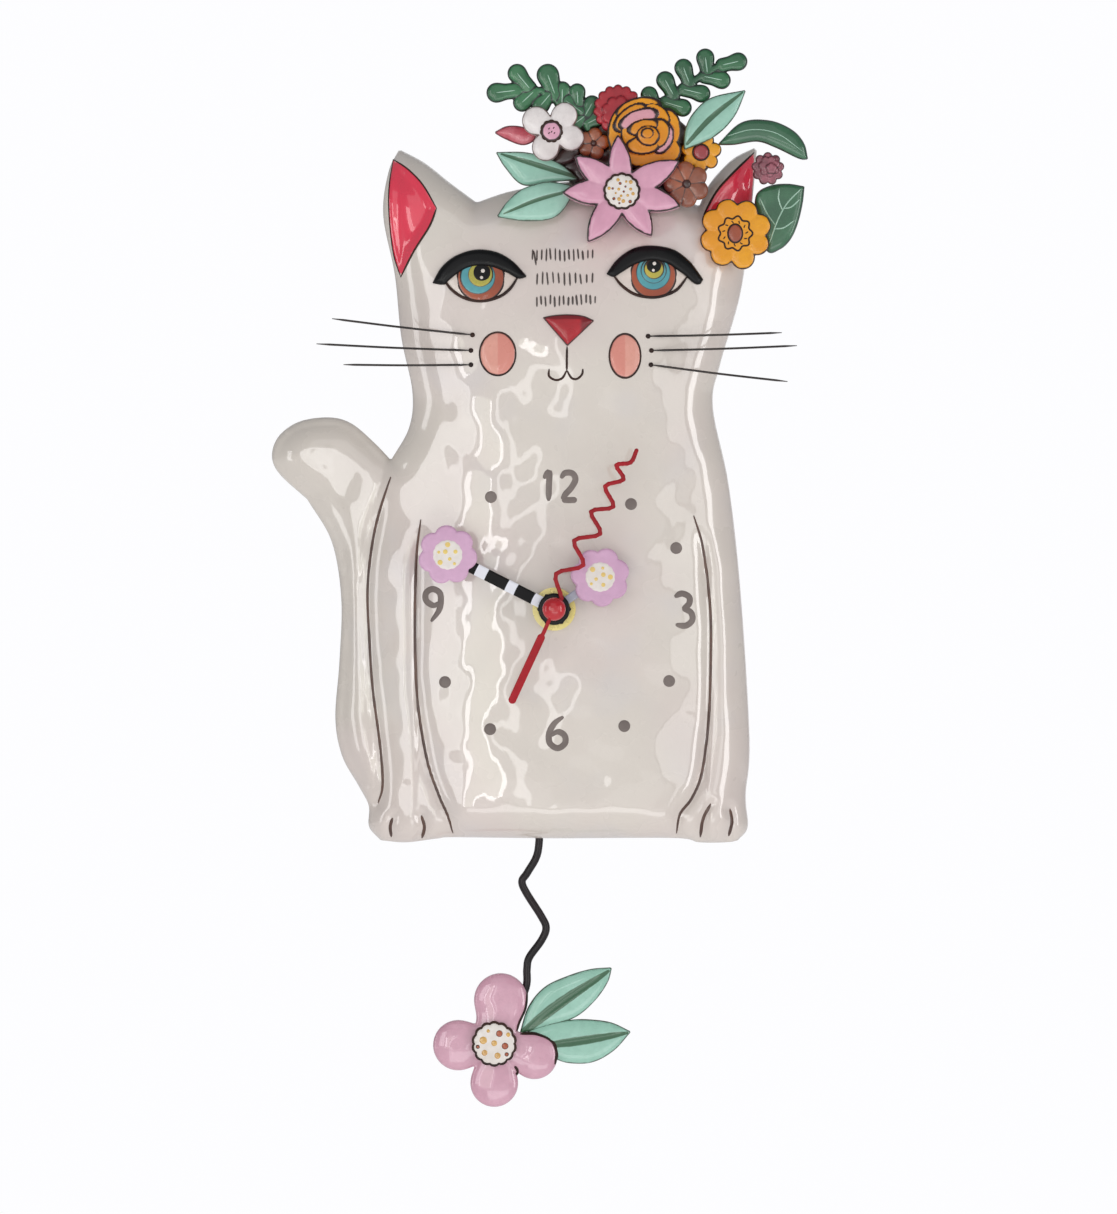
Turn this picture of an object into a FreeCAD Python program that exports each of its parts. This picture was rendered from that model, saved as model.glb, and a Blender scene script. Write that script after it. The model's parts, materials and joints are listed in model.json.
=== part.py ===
import FreeCAD, Part
import math
import os
from FreeCAD import Placement, Rotation, Vector

# A pendulum wall clock shaped like a sitting cat: a cast shell with a crown of flowers, a quartz
# movement behind the dial, flower hands, and a flower bob on a zigzag rod. Millimetres.
# The origin is the nail hole of the wall hanger, on the wall plane Y = 0. +Z is up and the clock
# faces -Y. "Depth" is the distance in front of the wall, so a face at depth 38 lies at Y = -38.
# Outlines are drawn as (right, up) from the hand shaft, as somebody reading the dial sees them.

doc = FreeCAD.newDocument("cat_clock")
sheet = doc.addObject("Spreadsheet::Sheet", "Sizes")
sheet.Label = "Sizes"

SIZES = {
    # cast shell
    "shaft_drop": 135.0,
    "shell_depth": 38.0,
    "body_cavity": 24.0,
    "movement_cavity": 33.0,
    "head_cavity": 21.0,
    "crown_seat": 20.0,
    "shaft_hole_radius": 4.1,
    # wall hanger
    "hanger_thickness": 2.0,
    "hanger_width": 48.0,
    "nail_room_depth": 12.0,
    "screw_spacing": 36.0,
    "nail_hole_radius": 5.0,
    "nail_slot_width": 4.5,
    "screw_radius": 1.4,
    "screw_head_radius": 3.0,
    "screw_head_height": 1.0,
    "screw_length": 9.0,
    # crown
    "crown_front": 32.0,
    "leaf_thickness": 3.0,
    "fern_thickness": 2.4,
    "petal_thickness": 4.0,
    "whisker_radius": 0.55,
    # movement case
    "case_front_depth": 33.0,
    "case_split_depth": 31.0,
    "case_back_depth": 15.0,
    "case_width": 56.0,
    "case_top": 28.0,
    "case_bottom": 58.0,
    "case_wall": 1.6,
    "bearing_depth": 1.0,
    "arbor_radius": 0.45,
    "bearing_radius": 0.5,
    # bushing, nut and hand tubes
    "bushing_radius": 4.0,
    "bushing_bore": 2.36,
    "bushing_front": 42.0,
    "washer_radius": 8.3,
    "washer_thickness": 0.8,
    "nut_radius": 6.6,
    "nut_thickness": 2.6,
    "gasket_radius": 11.0,
    "hour_tube_radius": 2.3,
    "hour_tube_bore": 1.36,
    "minute_tube_radius": 1.3,
    "minute_tube_bore": 0.56,
    "second_arbor_radius": 0.5,
    # hands
    "hour_hand_depth": 43.0,
    "minute_hand_depth": 46.6,
    "second_hand_depth": 50.4,
    "hand_thickness": 1.0,
    "hand_flower_thickness": 2.0,
    "hand_flower_radius": 11.5,
    "cap_radius": 4.0,
    "cap_height": 4.3,
    # gear train
    "second_module": 0.36,
    "third_module": 0.34,
    "fifth_module": 0.34,
    "rotor_module": 0.25,
    "cannon_module": 0.375,
    "hour_module": 0.36,
    "wheel_thickness": 1.0,
    "pinion_length": 1.4,
    # battery
    "battery_radius": 7.1,
    "battery_length": 49.2,
    "battery_drop": 20.5,
    "battery_depth": 23.6,
    # pendulum
    "pivot_side": 13.2,
    "pivot_drop": 33.0,
    "pendulum_depth": 19.5,
    "pivot_radius": 0.8,
    "hanger_arm_thickness": 3.0,
    "rod_radius": 1.5,
    "bob_thickness": 5.0,
}


def fill_sheet():
    for row, (name, value) in enumerate(SIZES.items(), start=1):
        sheet.set(f"A{row}", name)
        sheet.set(f"B{row}", str(value))
        sheet.setAlias(f"B{row}", name)
    doc.recompute()


def size(name):
    """A driving dimension as the sheet holds it."""
    return float(sheet.get(name))


def bind(item, **expressions):
    """Ties properties to sheet cells: bind(pad, Length="bob_thickness")."""
    for path, text in expressions.items():
        item.setExpression(path, text)


def place(item, right, depth, up, rotation=None):
    """Puts an object at a point of the dial: right and up from the shaft, depth off the wall."""
    item.Placement = Placement(Vector(right, 0, 0), rotation or Rotation())
    item.setExpression(".Placement.Base.y", f"-({depth})")
    item.setExpression(".Placement.Base.z", f"{up} - Sizes.shaft_drop")


NODES = {}


def node(name, item):
    item.Label = name
    NODES[name] = item
    return item


# ---------------------------------------------------------------- sketches, pads and pockets

def point(pair):
    return Vector(pair[0], pair[1], 0)


def smooth(points):
    """One smooth edge through the points."""
    curve = Part.BSplineCurve()
    curve.interpolate([point(p) for p in points])
    return curve


def loop_through(points):
    """A closed smooth edge through the points."""
    curve = Part.BSplineCurve()
    curve.interpolate(Points=[point(p) for p in points], PeriodicFlag=True)
    return [curve]


def line(start, end):
    return Part.LineSegment(point(start), point(end))


def polygon(points):
    return [line(a, b) for a, b in zip(points, points[1:] + points[:1])]


def rectangle(left, right, bottom, top):
    return polygon([(left, bottom), (right, bottom), (right, top), (left, top)])


def circle(radius, centre=(0, 0)):
    return [Part.Circle(point(centre), Vector(0, 0, 1), radius)]


def leaf_shape(base, tip, left, right):
    """Two arcs from base to tip, bulging by left and right of the line between them."""
    along = point(tip) - point(base)
    middle = (point(tip) + point(base)) * 0.5
    side = Vector(-along.y, along.x, 0).normalize()
    first = Part.Arc(point(base), middle + side * left, point(tip))
    second = Part.Arc(point(tip), middle - side * right, point(base))
    return [first, second]


def origin_plane(body, role):
    return [item for item in body.Origin.OriginFeatures if item.Role == role][0]


def sketch(body, curves, plane="XZ_Plane", forward=None):
    """A sketch on an origin plane; forward moves it towards the viewer by an expression."""
    drawing = body.newObject("Sketcher::SketchObject", "Sketch")
    drawing.AttachmentSupport = [(origin_plane(body, plane), "")]
    drawing.MapMode = "FlatFace"
    if forward:
        drawing.setExpression(".AttachmentOffset.Base.z", forward)
    drawing.addGeometry(curves, False)
    return drawing


def pad(body, drawing, length, back=False):
    """Adds material towards the viewer, or towards the wall with back=True."""
    feature = body.newObject("PartDesign::Pad", "Pad")
    feature.Profile = (drawing, [""])
    feature.Reversed = back
    bind(feature, Length=length)
    return feature


def pocket(body, drawing, length=None, forward=False, both=False):
    """Cuts towards the wall, towards the viewer, or both ways; all the way with no length."""
    feature = body.newObject("PartDesign::Pocket", "Pocket")
    feature.Profile = (drawing, [""])
    feature.Reversed = forward
    if both:
        feature.SideType = "Symmetric"
    if length:
        bind(feature, Length=length)
    else:
        feature.Type = "ThroughAll"
    return feature


def polar(body, original, drawing, count):
    feature = body.newObject("PartDesign::PolarPattern", "PolarPattern")
    feature.Originals = [original]
    feature.Axis = (drawing, ["N_Axis"])
    feature.Angle = 360
    feature.Occurrences = count
    body.Tip = feature
    return feature


def new_body(name, right=0, depth="0", up=0):
    body = doc.addObject("PartDesign::Body", name)
    place(body, right, depth, up)
    return node(name, body)


# ---------------------------------------------------------------- primitives

FACING_WALL = Rotation(Vector(1, 0, 0), -90)
ALONG_X = Rotation(Vector(0, 1, 0), 90)


def cylinder(radius, front, length, right=0, up=0):
    """A round bar on a line square to the dial, from its front depth back towards the wall."""
    item = doc.addObject("Part::Cylinder", "Cylinder")
    bind(item, Radius=radius, Height=length)
    place(item, right, front, up, FACING_WALL)
    return item


def fuse(items):
    item = doc.addObject("Part::MultiFuse", "Fusion")
    item.Shapes = items
    return item


def cut(base, tool):
    item = doc.addObject("Part::Cut", "Cut")
    item.Base = base
    item.Tool = tool
    return item


def shaped(shape, right=0, depth="0", up=0):
    """An object whose shape comes from Part functions, drawn in the dial's own axes."""
    item = doc.addObject("Part::Feature", "Shape")
    item.Shape = shape
    place(item, right, depth, up)
    return item


def plate(curves, thickness):
    """A flat piece standing in the dial's plane, growing towards the wall from depth 0."""
    face = Part.Face(Part.Wire([curve.toShape() for curve in curves]))
    face.rotate(Vector(0, 0, 0), Vector(1, 0, 0), 90)
    return face.extrude(Vector(0, thickness, 0))


def ribbon(points, width, thickness):
    """A flat strip that follows the points, with round ends and corners."""
    pieces = [plate(circle(width / 2, p), thickness) for p in points]
    for start, end in zip(points, points[1:]):
        along = point(end) - point(start)
        side = Vector(-along.y, along.x, 0).normalize() * (width / 2)
        corners = [point(start) + side, point(end) + side, point(end) - side, point(start) - side]
        pieces.append(plate(polygon([(c.x, c.y) for c in corners]), thickness))
    return pieces[0].fuse(pieces[1:]).removeSplitter()


def wire(points, radius):
    """Round wire through (right, depth, up) points, with ball corners."""
    path = [Vector(right, -depth, up) for right, depth, up in points]
    pieces = [Part.makeSphere(radius, p) for p in path[1:-1]]
    for start, end in zip(path, path[1:]):
        pieces.append(Part.makeCylinder(radius, start.distanceToPoint(end), start, end - start))
    return pieces[0].fuse(pieces[1:]) if len(pieces) > 1 else pieces[0]


# ---------------------------------------------------------------- the cast shell

HEAD_LEFT = [(-60, 178), (-64, 169), (-66, 152), (-61.5, 129), (-59, 105), (-54.7, 84), (-56, 70),
             (-63, 57.5)]
TAIL_TIP = [(-63, 57.5), (-70, 65), (-82, 72.8), (-98, 73), (-108.5, 65), (-109, 54.5), (-95.5, 42)]
TAIL_SIDE = [(-95.5, 42), (-86, 24.5), (-83.3, 0), (-85.5, -39), (-79, -62), (-71, -74),
             (-71.5, -84), (-67, -89.3)]
PAWS = [(-67, -89.3), (71, -89.3)]
BODY_RIGHT = [(71, -89.3), (74.8, -84), (74, -72), (75.5, -50), (72, 7), (67.4, 48), (61.3, 78),
              (64, 94), (72, 122), (76, 152), (78.3, 178)]
RIGHT_EAR_INSIDE = [(78.3, 178), (68, 174), (60, 166), (56, 155.5)]
HEAD_TOP = [(56, 155.5), (40, 163), (15, 166), (-14, 162), (-30, 157)]
LEFT_EAR_INSIDE = [(-30, 157), (-40, 164.5), (-50, 172.5), (-60, 178)]
SHELL_OUTLINE = [HEAD_LEFT, TAIL_TIP, TAIL_SIDE, PAWS, BODY_RIGHT, RIGHT_EAR_INSIDE, HEAD_TOP,
                 LEFT_EAR_INSIDE]

# how far the front stands off the wall, across the clock and up it
FRONT_ACROSS = [(-125, -12), (-100, -17), (-80, -21.5), (-55, -30), (-28, -36.5), (0, -38),
                (28, -36.8), (55, -31.5), (80, -23), (95, -16)]
FRONT_UP = [(-27, -95), (-34, -86), (-37.5, -70), (-38, -30), (-38, 40), (-37.6, 90), (-34, 120),
            (-26, 145), (-18, 165), (-11, 185)]
CLEAR = -60

CROWN_BASE = [(-6, 178), (-4, 187), (8, 191), (17, 198), (33, 197.5), (46, 190), (57, 180),
              (65, 175), (62, 170), (55, 160), (46, 154), (36, 148), (16, 146), (8, 157), (1, 166)]
BODY_CAVITY = [(-50, 52), (-60, 20), (-62, -20), (-60, -60), (-50, -78), (0, -81), (48, -78),
               (62, -60), (64, -20), (60, 20), (52, 52), (0, 60)]
HEAD_CAVITY = [(-48, 66), (-46, 90), (-48, 108), (-36, 119), (0, 121), (38, 119), (52, 108),
               (50, 90), (50, 66), (0, 56)]
MOVEMENT_RECESS = rectangle(-31, 31, -62, 32)
ROD_SLOT = rectangle(-22, 9, -93, -74)


def body_shell():
    body = new_body("body_shell")
    outline = [smooth(points) for points in SHELL_OUTLINE]
    pad(body, sketch(body, outline), "Sizes.shell_depth")
    across = [smooth(FRONT_ACROSS), line((95, -16), (95, CLEAR)), line((95, CLEAR), (-125, CLEAR)),
              line((-125, CLEAR), (-125, -12))]
    pocket(body, sketch(body, across, "XY_Plane"), both=True)
    upward = [smooth(FRONT_UP), line((-11, 185), (CLEAR, 185)), line((CLEAR, 185), (CLEAR, -95)),
              line((CLEAR, -95), (-27, -95))]
    pocket(body, sketch(body, upward, "YZ_Plane"), both=True)
    pocket(body, sketch(body, loop_through(BODY_CAVITY)), "Sizes.body_cavity", forward=True)
    pocket(body, sketch(body, loop_through(HEAD_CAVITY)), "Sizes.head_cavity", forward=True)
    pocket(body, sketch(body, MOVEMENT_RECESS), "Sizes.movement_cavity", forward=True)
    pocket(body, sketch(body, circle(size("shaft_hole_radius"))), forward=True)
    pocket(body, sketch(body, ROD_SLOT), "Sizes.body_cavity", forward=True)
    seat = sketch(body, loop_through(CROWN_BASE), forward="Sizes.crown_seat")
    pocket(body, seat, forward=True)
    up = size("shaft_drop")
    half = size("hanger_width") / 2
    plate_seat = rectangle(-half, half, up + HANGER_BOTTOM, up + HANGER_TOP)
    pocket(body, sketch(body, plate_seat), "Sizes.hanger_thickness", forward=True)
    nail_room = rectangle(-9, 9, up - 8, up + 12)
    pocket(body, sketch(body, nail_room), "Sizes.nail_room_depth", forward=True)
    for side in screw_places():
        pilot = sketch(body, circle(size("screw_radius"), (side, up)))
        pocket(body, pilot, "Sizes.screw_length", forward=True)


HANGER_BOTTOM, HANGER_TOP, NAIL_SLOT_TOP = -11, 14, 9


def screw_places():
    return (-size("screw_spacing") / 2, size("screw_spacing") / 2)


def wall_hanger():
    """A steel keyhole plate let into the back, and the two screws that hold it."""
    up = size("shaft_drop")
    half = size("hanger_width") / 2
    body = new_body("hanger_plate", 0, "0", up)
    pad(body, sketch(body, rectangle(-half, half, HANGER_BOTTOM, HANGER_TOP)),
        "Sizes.hanger_thickness")
    pocket(body, sketch(body, circle(size("nail_hole_radius"))), forward=True)
    slot = size("nail_slot_width") / 2
    pocket(body, sketch(body, rectangle(-slot, slot, 0, NAIL_SLOT_TOP)), forward=True)
    screws = []
    for side in screw_places():
        pocket(body, sketch(body, circle(size("screw_radius"), (side, 0))), forward=True)
        head_seat = sketch(body, circle(size("screw_head_radius"), (side, 0)))
        pocket(body, head_seat, "Sizes.screw_head_height", forward=True)
        shank = cylinder("Sizes.screw_radius", "Sizes.screw_length",
                         "Sizes.screw_length - Sizes.screw_head_height", side, up)
        head = cylinder("Sizes.screw_head_radius", "Sizes.screw_head_height",
                        "Sizes.screw_head_height", side, up)
        screws += [shank, head]
    node("hanger_screws", fuse(screws))


# ---------------------------------------------------------------- the crown

def leaf(name, base, tip, left, right, depth):
    body = new_body(name, 0, depth)
    pad(body, sketch(body, leaf_shape(base, tip, left, right)), "Sizes.leaf_thickness")
    return body


def flower(name, centre, depth, petals, petal, disc_radius, thickness, stem_radius=0,
           stem_length=None):
    """A disc with petals round it; a stem reaches back to what the flower is glued to."""
    body = new_body(name, centre[0], depth, centre[1])
    drawing = sketch(body, circle(disc_radius))
    pad(body, drawing, thickness)
    petal_pad = pad(body, sketch(body, petal), thickness)
    polar(body, petal_pad, drawing, petals)
    if stem_radius:
        pad(body, sketch(body, circle(stem_radius)), stem_length, back=True)
    return body


def sprigs(name, stems, leaves, depth):
    """Fern stems with rounded leaves; each leaf is (base on a stem, tip)."""
    thick = size("fern_thickness")
    pieces = [ribbon(stem, 2.4, thick) for stem in stems]
    for base, tip in leaves:
        start, end = point(base), point(tip)
        reach = (end - start).normalize()
        middle = end - reach * 3.1
        pieces.append(ribbon([base, (middle.x, middle.y)], 3.2, thick))
        pieces.append(plate(circle(3.1, (middle.x, middle.y)), thick))
    shape = pieces[0].fuse(pieces[1:]).removeSplitter()
    node(name, shaped(shape, 0, f"{depth} + {thick}"))


def crown():
    front = "Sizes.crown_front"
    second = "Sizes.crown_front + Sizes.leaf_thickness"
    third = "Sizes.crown_front + Sizes.petal_thickness"
    fourth = "Sizes.crown_front + 2 * Sizes.petal_thickness"
    fifth = "Sizes.crown_front + 3 * Sizes.petal_thickness"
    petal = "Sizes.petal_thickness"
    base = new_body("crown_base", 0, "Sizes.crown_seat")
    pad(base, sketch(base, loop_through(CROWN_BASE)), "Sizes.crown_front - Sizes.crown_seat")

    sprigs("fern_sprig_left",
           [[(1.5, 188.5), (-1, 194), (-5, 199), (-14, 200.5), (-19, 199)],
            [(13, 186), (11, 192), (8.5, 198)], [(1.5, 188.5), (13, 188.5)]],
           [((-17, 200), (-25, 197.5)), ((-9, 200), (-16, 208)), ((-8, 200), (-12.5, 191)),
            ((-5, 199), (-2, 209)), ((-2, 195), (5, 204)), ((9, 197), (9.5, 203)),
            ((10, 194), (4, 197)), ((11, 192), (17, 197)), ((12, 188), (18, 190))], front)
    sprigs("fern_sprig_right",
           [[(38, 190), (45.5, 197), (52.5, 202), (59, 208), (66, 210)]],
           [((64, 209.5), (73.5, 211)), ((59, 208), (58, 216)), ((51, 201), (49.5, 211)),
            ((56, 205), (67, 202)), ((44, 195.5), (42, 205)), ((47, 198), (57, 196)),
            ((40, 192), (37, 201))], front)
    leaf("red_bud", (-7, 182.4), (-24, 182.8), 4, 4, front)
    leaf("mint_leaf_upper", (9.5, 165.5), (-22.6, 176.2), 6, 4.2, front)
    leaf("mint_leaf_lower", (9, 161), (-22.3, 150.5), 5.5, 6, second)
    leaf("mint_leaf_right", (50.3, 176.6), (73.7, 199.6), 6, 3.4, front)
    leaf("curved_dark_leaf", (64.5, 178), (98, 172.5), 13, -4.5, second)
    leaf("maroon_bud", (82.5, 178), (82, 164), 4, 4, front)
    leaf("veined_leaf", (77.6, 141), (97, 163.5), 9, 6.5, "27")

    flower("white_flower", (-1, 183.7), third, 4, circle(4.7, (4.1, 6.1)), 4.8, petal, 3, petal)
    flower("brown_flower_left", (15.4, 178.6), front, 5, circle(2.8, (0, 3.4)), 3.2, petal)
    flower("brown_flower_right", (50.4, 162), third, 5, circle(3.8, (0, 4.4)), 4, petal, 2.5,
           petal)
    flower("small_yellow_flower", (56.5, 176), third, 6, circle(2.6, (0, 4.2)), 4, petal, 1.5,
           petal)
    flower("red_carnation", (24.6, 192.6), third, 12, circle(2.4, (0, 7.6)), 8.2, petal, 3, petal)
    flower("rose", (35.3, 182.2), fourth, 7, circle(5.5, (0, 8.6)), 10.5, petal, 3,
           f"2 * {petal}")
    star_petal = leaf_shape((0, 0), (0, 22.5), 5.8, 5.8)
    flower("star_flower", (25.8, 160.4), fifth, 7, star_petal, 7.5, petal, 4, f"3 * {petal}")
    flower("yellow_flower", (69.7, 144.4), "30", 8, circle(4.8, (0, 9.4)), 10.2, petal, 3, "7")


def whiskers():
    """Three steel wires stand out of each cheek."""
    radius = size("whisker_radius")
    root, end = 34.5, 38.0
    left = [((-31, 105.5), (-85.5, 111.7)), ((-32, 99.3), (-91.6, 102)), ((-32, 94), (-81, 94))]
    right = [((36.2, 105), (87.8, 106.3)), ((37.5, 99.5), (93.6, 101.3)), ((37.3, 94), (90, 87.5))]
    for name, pairs in (("whiskers_left", left), ("whiskers_right", right)):
        wires = [wire([(a[0], root, a[1]), (b[0], end, b[1])], radius) for a, b in pairs]
        node(name, shaped(Part.makeCompound(wires)))


# ---------------------------------------------------------------- gears

def tooth_ring(teeth, module, pinion):
    """Radii and half angles of one tooth, from root to tip: straight flanks below the pitch
    circle and rounded tips above it, with a working gap."""
    pitch = teeth * module / 2
    half = (0.37 if pinion else 0.44) * math.pi / teeth
    if pinion:
        return [(pitch - 1.45 * module, half), (pitch, half), (pitch + 0.42 * module, half * 0.72),
                (pitch + 0.72 * module, half * 0.3)]
    return [(pitch - 1.15 * module, half * 1.02), (pitch, half),
            (pitch + 0.5 * module, half * 0.74), (pitch + 0.95 * module, half * 0.3)]


def gear_plate(teeth, module, thickness, towards=0.0, tooth_there=True, pinion=False):
    """A toothed disc with a tooth, or a gap, pointing at the angle towards (degrees)."""
    step = 2 * math.pi / teeth
    start = math.radians(towards) + (0 if tooth_there else step / 2)
    profile = tooth_ring(teeth, module, pinion)
    corners = []
    for index in range(teeth):
        middle = start + index * step
        flank = [(radius, middle - half) for radius, half in profile]
        flank += [(radius, middle + half) for radius, half in reversed(profile)]
        corners += [(r * math.cos(a), r * math.sin(a)) for r, a in flank]
    return plate(polygon(corners), thickness)


def gear(teeth, module, front, at=(0, 0), towards=0.0, tooth_there=True, pinion=False):
    width = size("pinion_length") if pinion else size("wheel_thickness")
    shape = gear_plate(teeth, size(module), width, towards, tooth_there, pinion)
    return shaped(shape, at[0], front, at[1])


def spread(teeth_a, teeth_b, module):
    return (teeth_a + teeth_b) / 2 * size(module)


def offset(start, distance, angle):
    turn = math.radians(angle)
    return (start[0] + distance * math.cos(turn), start[1] + distance * math.sin(turn))


THIRD_ANGLE, FIFTH_ANGLE, ROTOR_ANGLE, MINUTE_ANGLE, KNOB_ANGLE = 150, 30, 60, 90, 90


def arbor(front, back, at=(0, 0), radius="Sizes.arbor_radius"):
    return cylinder(radius, front, f"({front}) - ({back})", at[0], at[1])


def gear_train():
    """Rotor 10 : fifth wheel 50/10 : second wheel 60/8 : third wheel 60/8 : centre wheel 64, then
    cannon pinion 12 : minute wheel 36/10 : hour wheel 40. The setting knob turns the minute
    wheel."""
    origin = (0, 0)
    third_at = offset(origin, spread(60, 8, "second_module"), THIRD_ANGLE)
    fifth_at = offset(origin, spread(60, 10, "fifth_module"), FIFTH_ANGLE)
    rotor_at = offset(fifth_at, spread(50, 10, "rotor_module"), ROTOR_ANGLE)
    minute_at = offset(origin, spread(12, 36, "cannon_module"), MINUTE_ANGLE)
    knob_at = offset(minute_at, spread(12, 36, "cannon_module"), KNOB_ANGLE)
    far_end = "(Sizes.case_back_depth + Sizes.case_wall - Sizes.bearing_depth + 0.2)"
    near_end = "(Sizes.case_split_depth + Sizes.bearing_depth - 0.2)"

    hour_back = 29.5
    hour = fuse([gear(40, "hour_module", "30.5", origin, MINUTE_ANGLE, True),
                 arbor("Sizes.hour_hand_depth + 1.2", str(hour_back), origin,
                       "Sizes.hour_tube_radius")])
    node("hour_wheel", cut(hour, arbor("50", "25", origin, "Sizes.hour_tube_bore")))

    centre = fuse([gear(64, "third_module", "27.0", origin, THIRD_ANGLE, True),
                   gear(12, "cannon_module", "29.0", origin, MINUTE_ANGLE, True, True),
                   arbor("Sizes.minute_hand_depth + 1.0", "26.0", origin,
                         "Sizes.minute_tube_radius")])
    node("centre_wheel", cut(centre, arbor("50", "24", origin, "Sizes.minute_tube_bore")))

    second = fuse([gear(60, "fifth_module", "22.6", origin, FIFTH_ANGLE, True),
                   gear(8, "second_module", "25.1", origin, THIRD_ANGLE, False, True),
                   arbor("Sizes.second_hand_depth + 1.4", far_end, origin,
                         "Sizes.second_arbor_radius")])
    node("second_wheel", second)

    third = fuse([gear(60, "second_module", "24.9", third_at, THIRD_ANGLE + 180, True),
                  gear(8, "third_module", "27.2", third_at, THIRD_ANGLE + 180, False, True),
                  arbor(near_end, far_end, third_at)])
    node("third_wheel", third)

    fifth = fuse([gear(50, "rotor_module", "20.4", fifth_at, ROTOR_ANGLE, True),
                  gear(10, "fifth_module", "22.8", fifth_at, FIFTH_ANGLE + 180, False, True),
                  arbor(near_end, far_end, fifth_at)])
    node("fifth_wheel", fifth)

    rotor = fuse([gear(10, "rotor_module", "20.6", rotor_at, ROTOR_ANGLE + 180, False, True),
                  cylinder("2.5", "27", "3", *rotor_at), arbor(near_end, far_end, rotor_at)])
    node("rotor", rotor)

    minute = fuse([gear(36, "cannon_module", "28.9", minute_at, MINUTE_ANGLE + 180, False),
                   gear(10, "hour_module", "30.7", minute_at, MINUTE_ANGLE + 180, False, True),
                   cylinder("1.2", "30.7", "2.8", *minute_at)])
    node("minute_wheel", cut(minute, cylinder("0.7", "31", "4", *minute_at)))

    # the minute wheel has an even number of gaps, so one points at the knob as well
    knob = fuse([gear(12, "cannon_module", "29.0", knob_at, KNOB_ANGLE + 180, True, True),
                 arbor(near_end, "Sizes.case_back_depth - 1.6", knob_at, "1.0"),
                 cylinder("6", "Sizes.case_back_depth - 0.6", "3", *knob_at)])
    node("setting_knob", knob)
    return {"third": third_at, "fifth": fifth_at, "rotor": rotor_at, "minute": minute_at,
            "knob": knob_at}


# ---------------------------------------------------------------- movement case and its fittings

BATTERY_BAY = (-26.4, 26.4, -28.1, -12.9)


def movement_case(arbors):
    half = size("case_width") / 2
    top, bottom, wall = size("case_top"), -size("case_bottom"), size("case_wall")
    pivot = (-size("pivot_side"), -size("pivot_drop"))

    front = new_body("movement_case_front", 0, "Sizes.case_split_depth")
    pad(front, sketch(front, rectangle(-half, half, bottom, top)),
        "Sizes.case_front_depth - Sizes.case_split_depth")
    stud = sketch(front, circle(0.65, arbors["minute"]))
    pad(front, stud, "3.4", back=True)
    pocket(front, sketch(front, circle(size("bushing_radius"))), forward=True)
    for name in ("third", "fifth", "rotor"):
        hole = sketch(front, circle(size("bearing_radius"), arbors[name]))
        pocket(front, hole, "Sizes.bearing_depth", forward=True)
    pocket(front, sketch(front, circle(1.05, arbors["knob"])), "Sizes.bearing_depth", forward=True)
    pocket(front, sketch(front, circle(size("pivot_radius"), pivot)), "Sizes.bearing_depth",
           forward=True)

    back = new_body("movement_case_back", 0, "Sizes.case_split_depth")
    pad(back, sketch(back, rectangle(-half, half, bottom, top)),
        "Sizes.case_split_depth - Sizes.case_back_depth", back=True)
    inner = half - wall
    bay_left, bay_right, bay_bottom, bay_top = BATTERY_BAY
    gear_room = rectangle(-inner, inner, bay_top + 0.9, top - wall)
    drive_room = rectangle(-inner, inner, bottom + wall, bay_bottom - 0.9)
    depth = "Sizes.case_split_depth - Sizes.case_back_depth - Sizes.case_wall"
    pocket(back, sketch(back, gear_room), depth)
    pocket(back, sketch(back, drive_room), depth)
    pocket(back, sketch(back, rectangle(bay_left, bay_right, bay_bottom, bay_top)))
    inside = f"-({depth})"
    for name in ("third", "fifth", "rotor"):
        hole = sketch(back, circle(size("bearing_radius"), arbors[name]), forward=inside)
        pocket(back, hole, "Sizes.bearing_depth")
    centre_hole = sketch(back, circle(size("second_arbor_radius") + 0.05), forward=inside)
    pocket(back, centre_hole, "Sizes.bearing_depth")
    pocket(back, sketch(back, circle(1.05, arbors["knob"])))
    pin_hole = sketch(back, circle(size("pivot_radius"), pivot), forward=inside)
    pocket(back, pin_hole, "Sizes.bearing_depth")
    arm_slot = rectangle(pivot[0] - 7.5, pivot[0] + 7.5, bottom - 1, bottom + wall + 1)
    room = sketch(back, arm_slot, forward="-7.4")
    pocket(back, room, "7.0")


def shaft_fittings():
    """Bushing through the dial, with a gasket behind it and a washer and nut in front."""
    bushing = cylinder("Sizes.bushing_radius", "Sizes.bushing_front",
                       "Sizes.bushing_front - Sizes.case_split_depth")
    bore = cylinder("Sizes.bushing_bore", "60", "60")
    node("threaded_bushing", cut(bushing, bore))
    washer = cylinder("Sizes.washer_radius", "Sizes.shell_depth + Sizes.washer_thickness",
                      "Sizes.washer_thickness")
    node("brass_washer", cut(washer, cylinder("Sizes.bushing_radius", "60", "60")))
    body = new_body("dial_nut", 0, "Sizes.shell_depth + Sizes.washer_thickness")
    radius = size("nut_radius")
    hexagon = [offset((0, 0), radius, 60 * side) for side in range(6)]
    pad(body, sketch(body, polygon(hexagon)), "Sizes.nut_thickness")
    pocket(body, sketch(body, circle(size("bushing_radius"))), forward=True)


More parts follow.
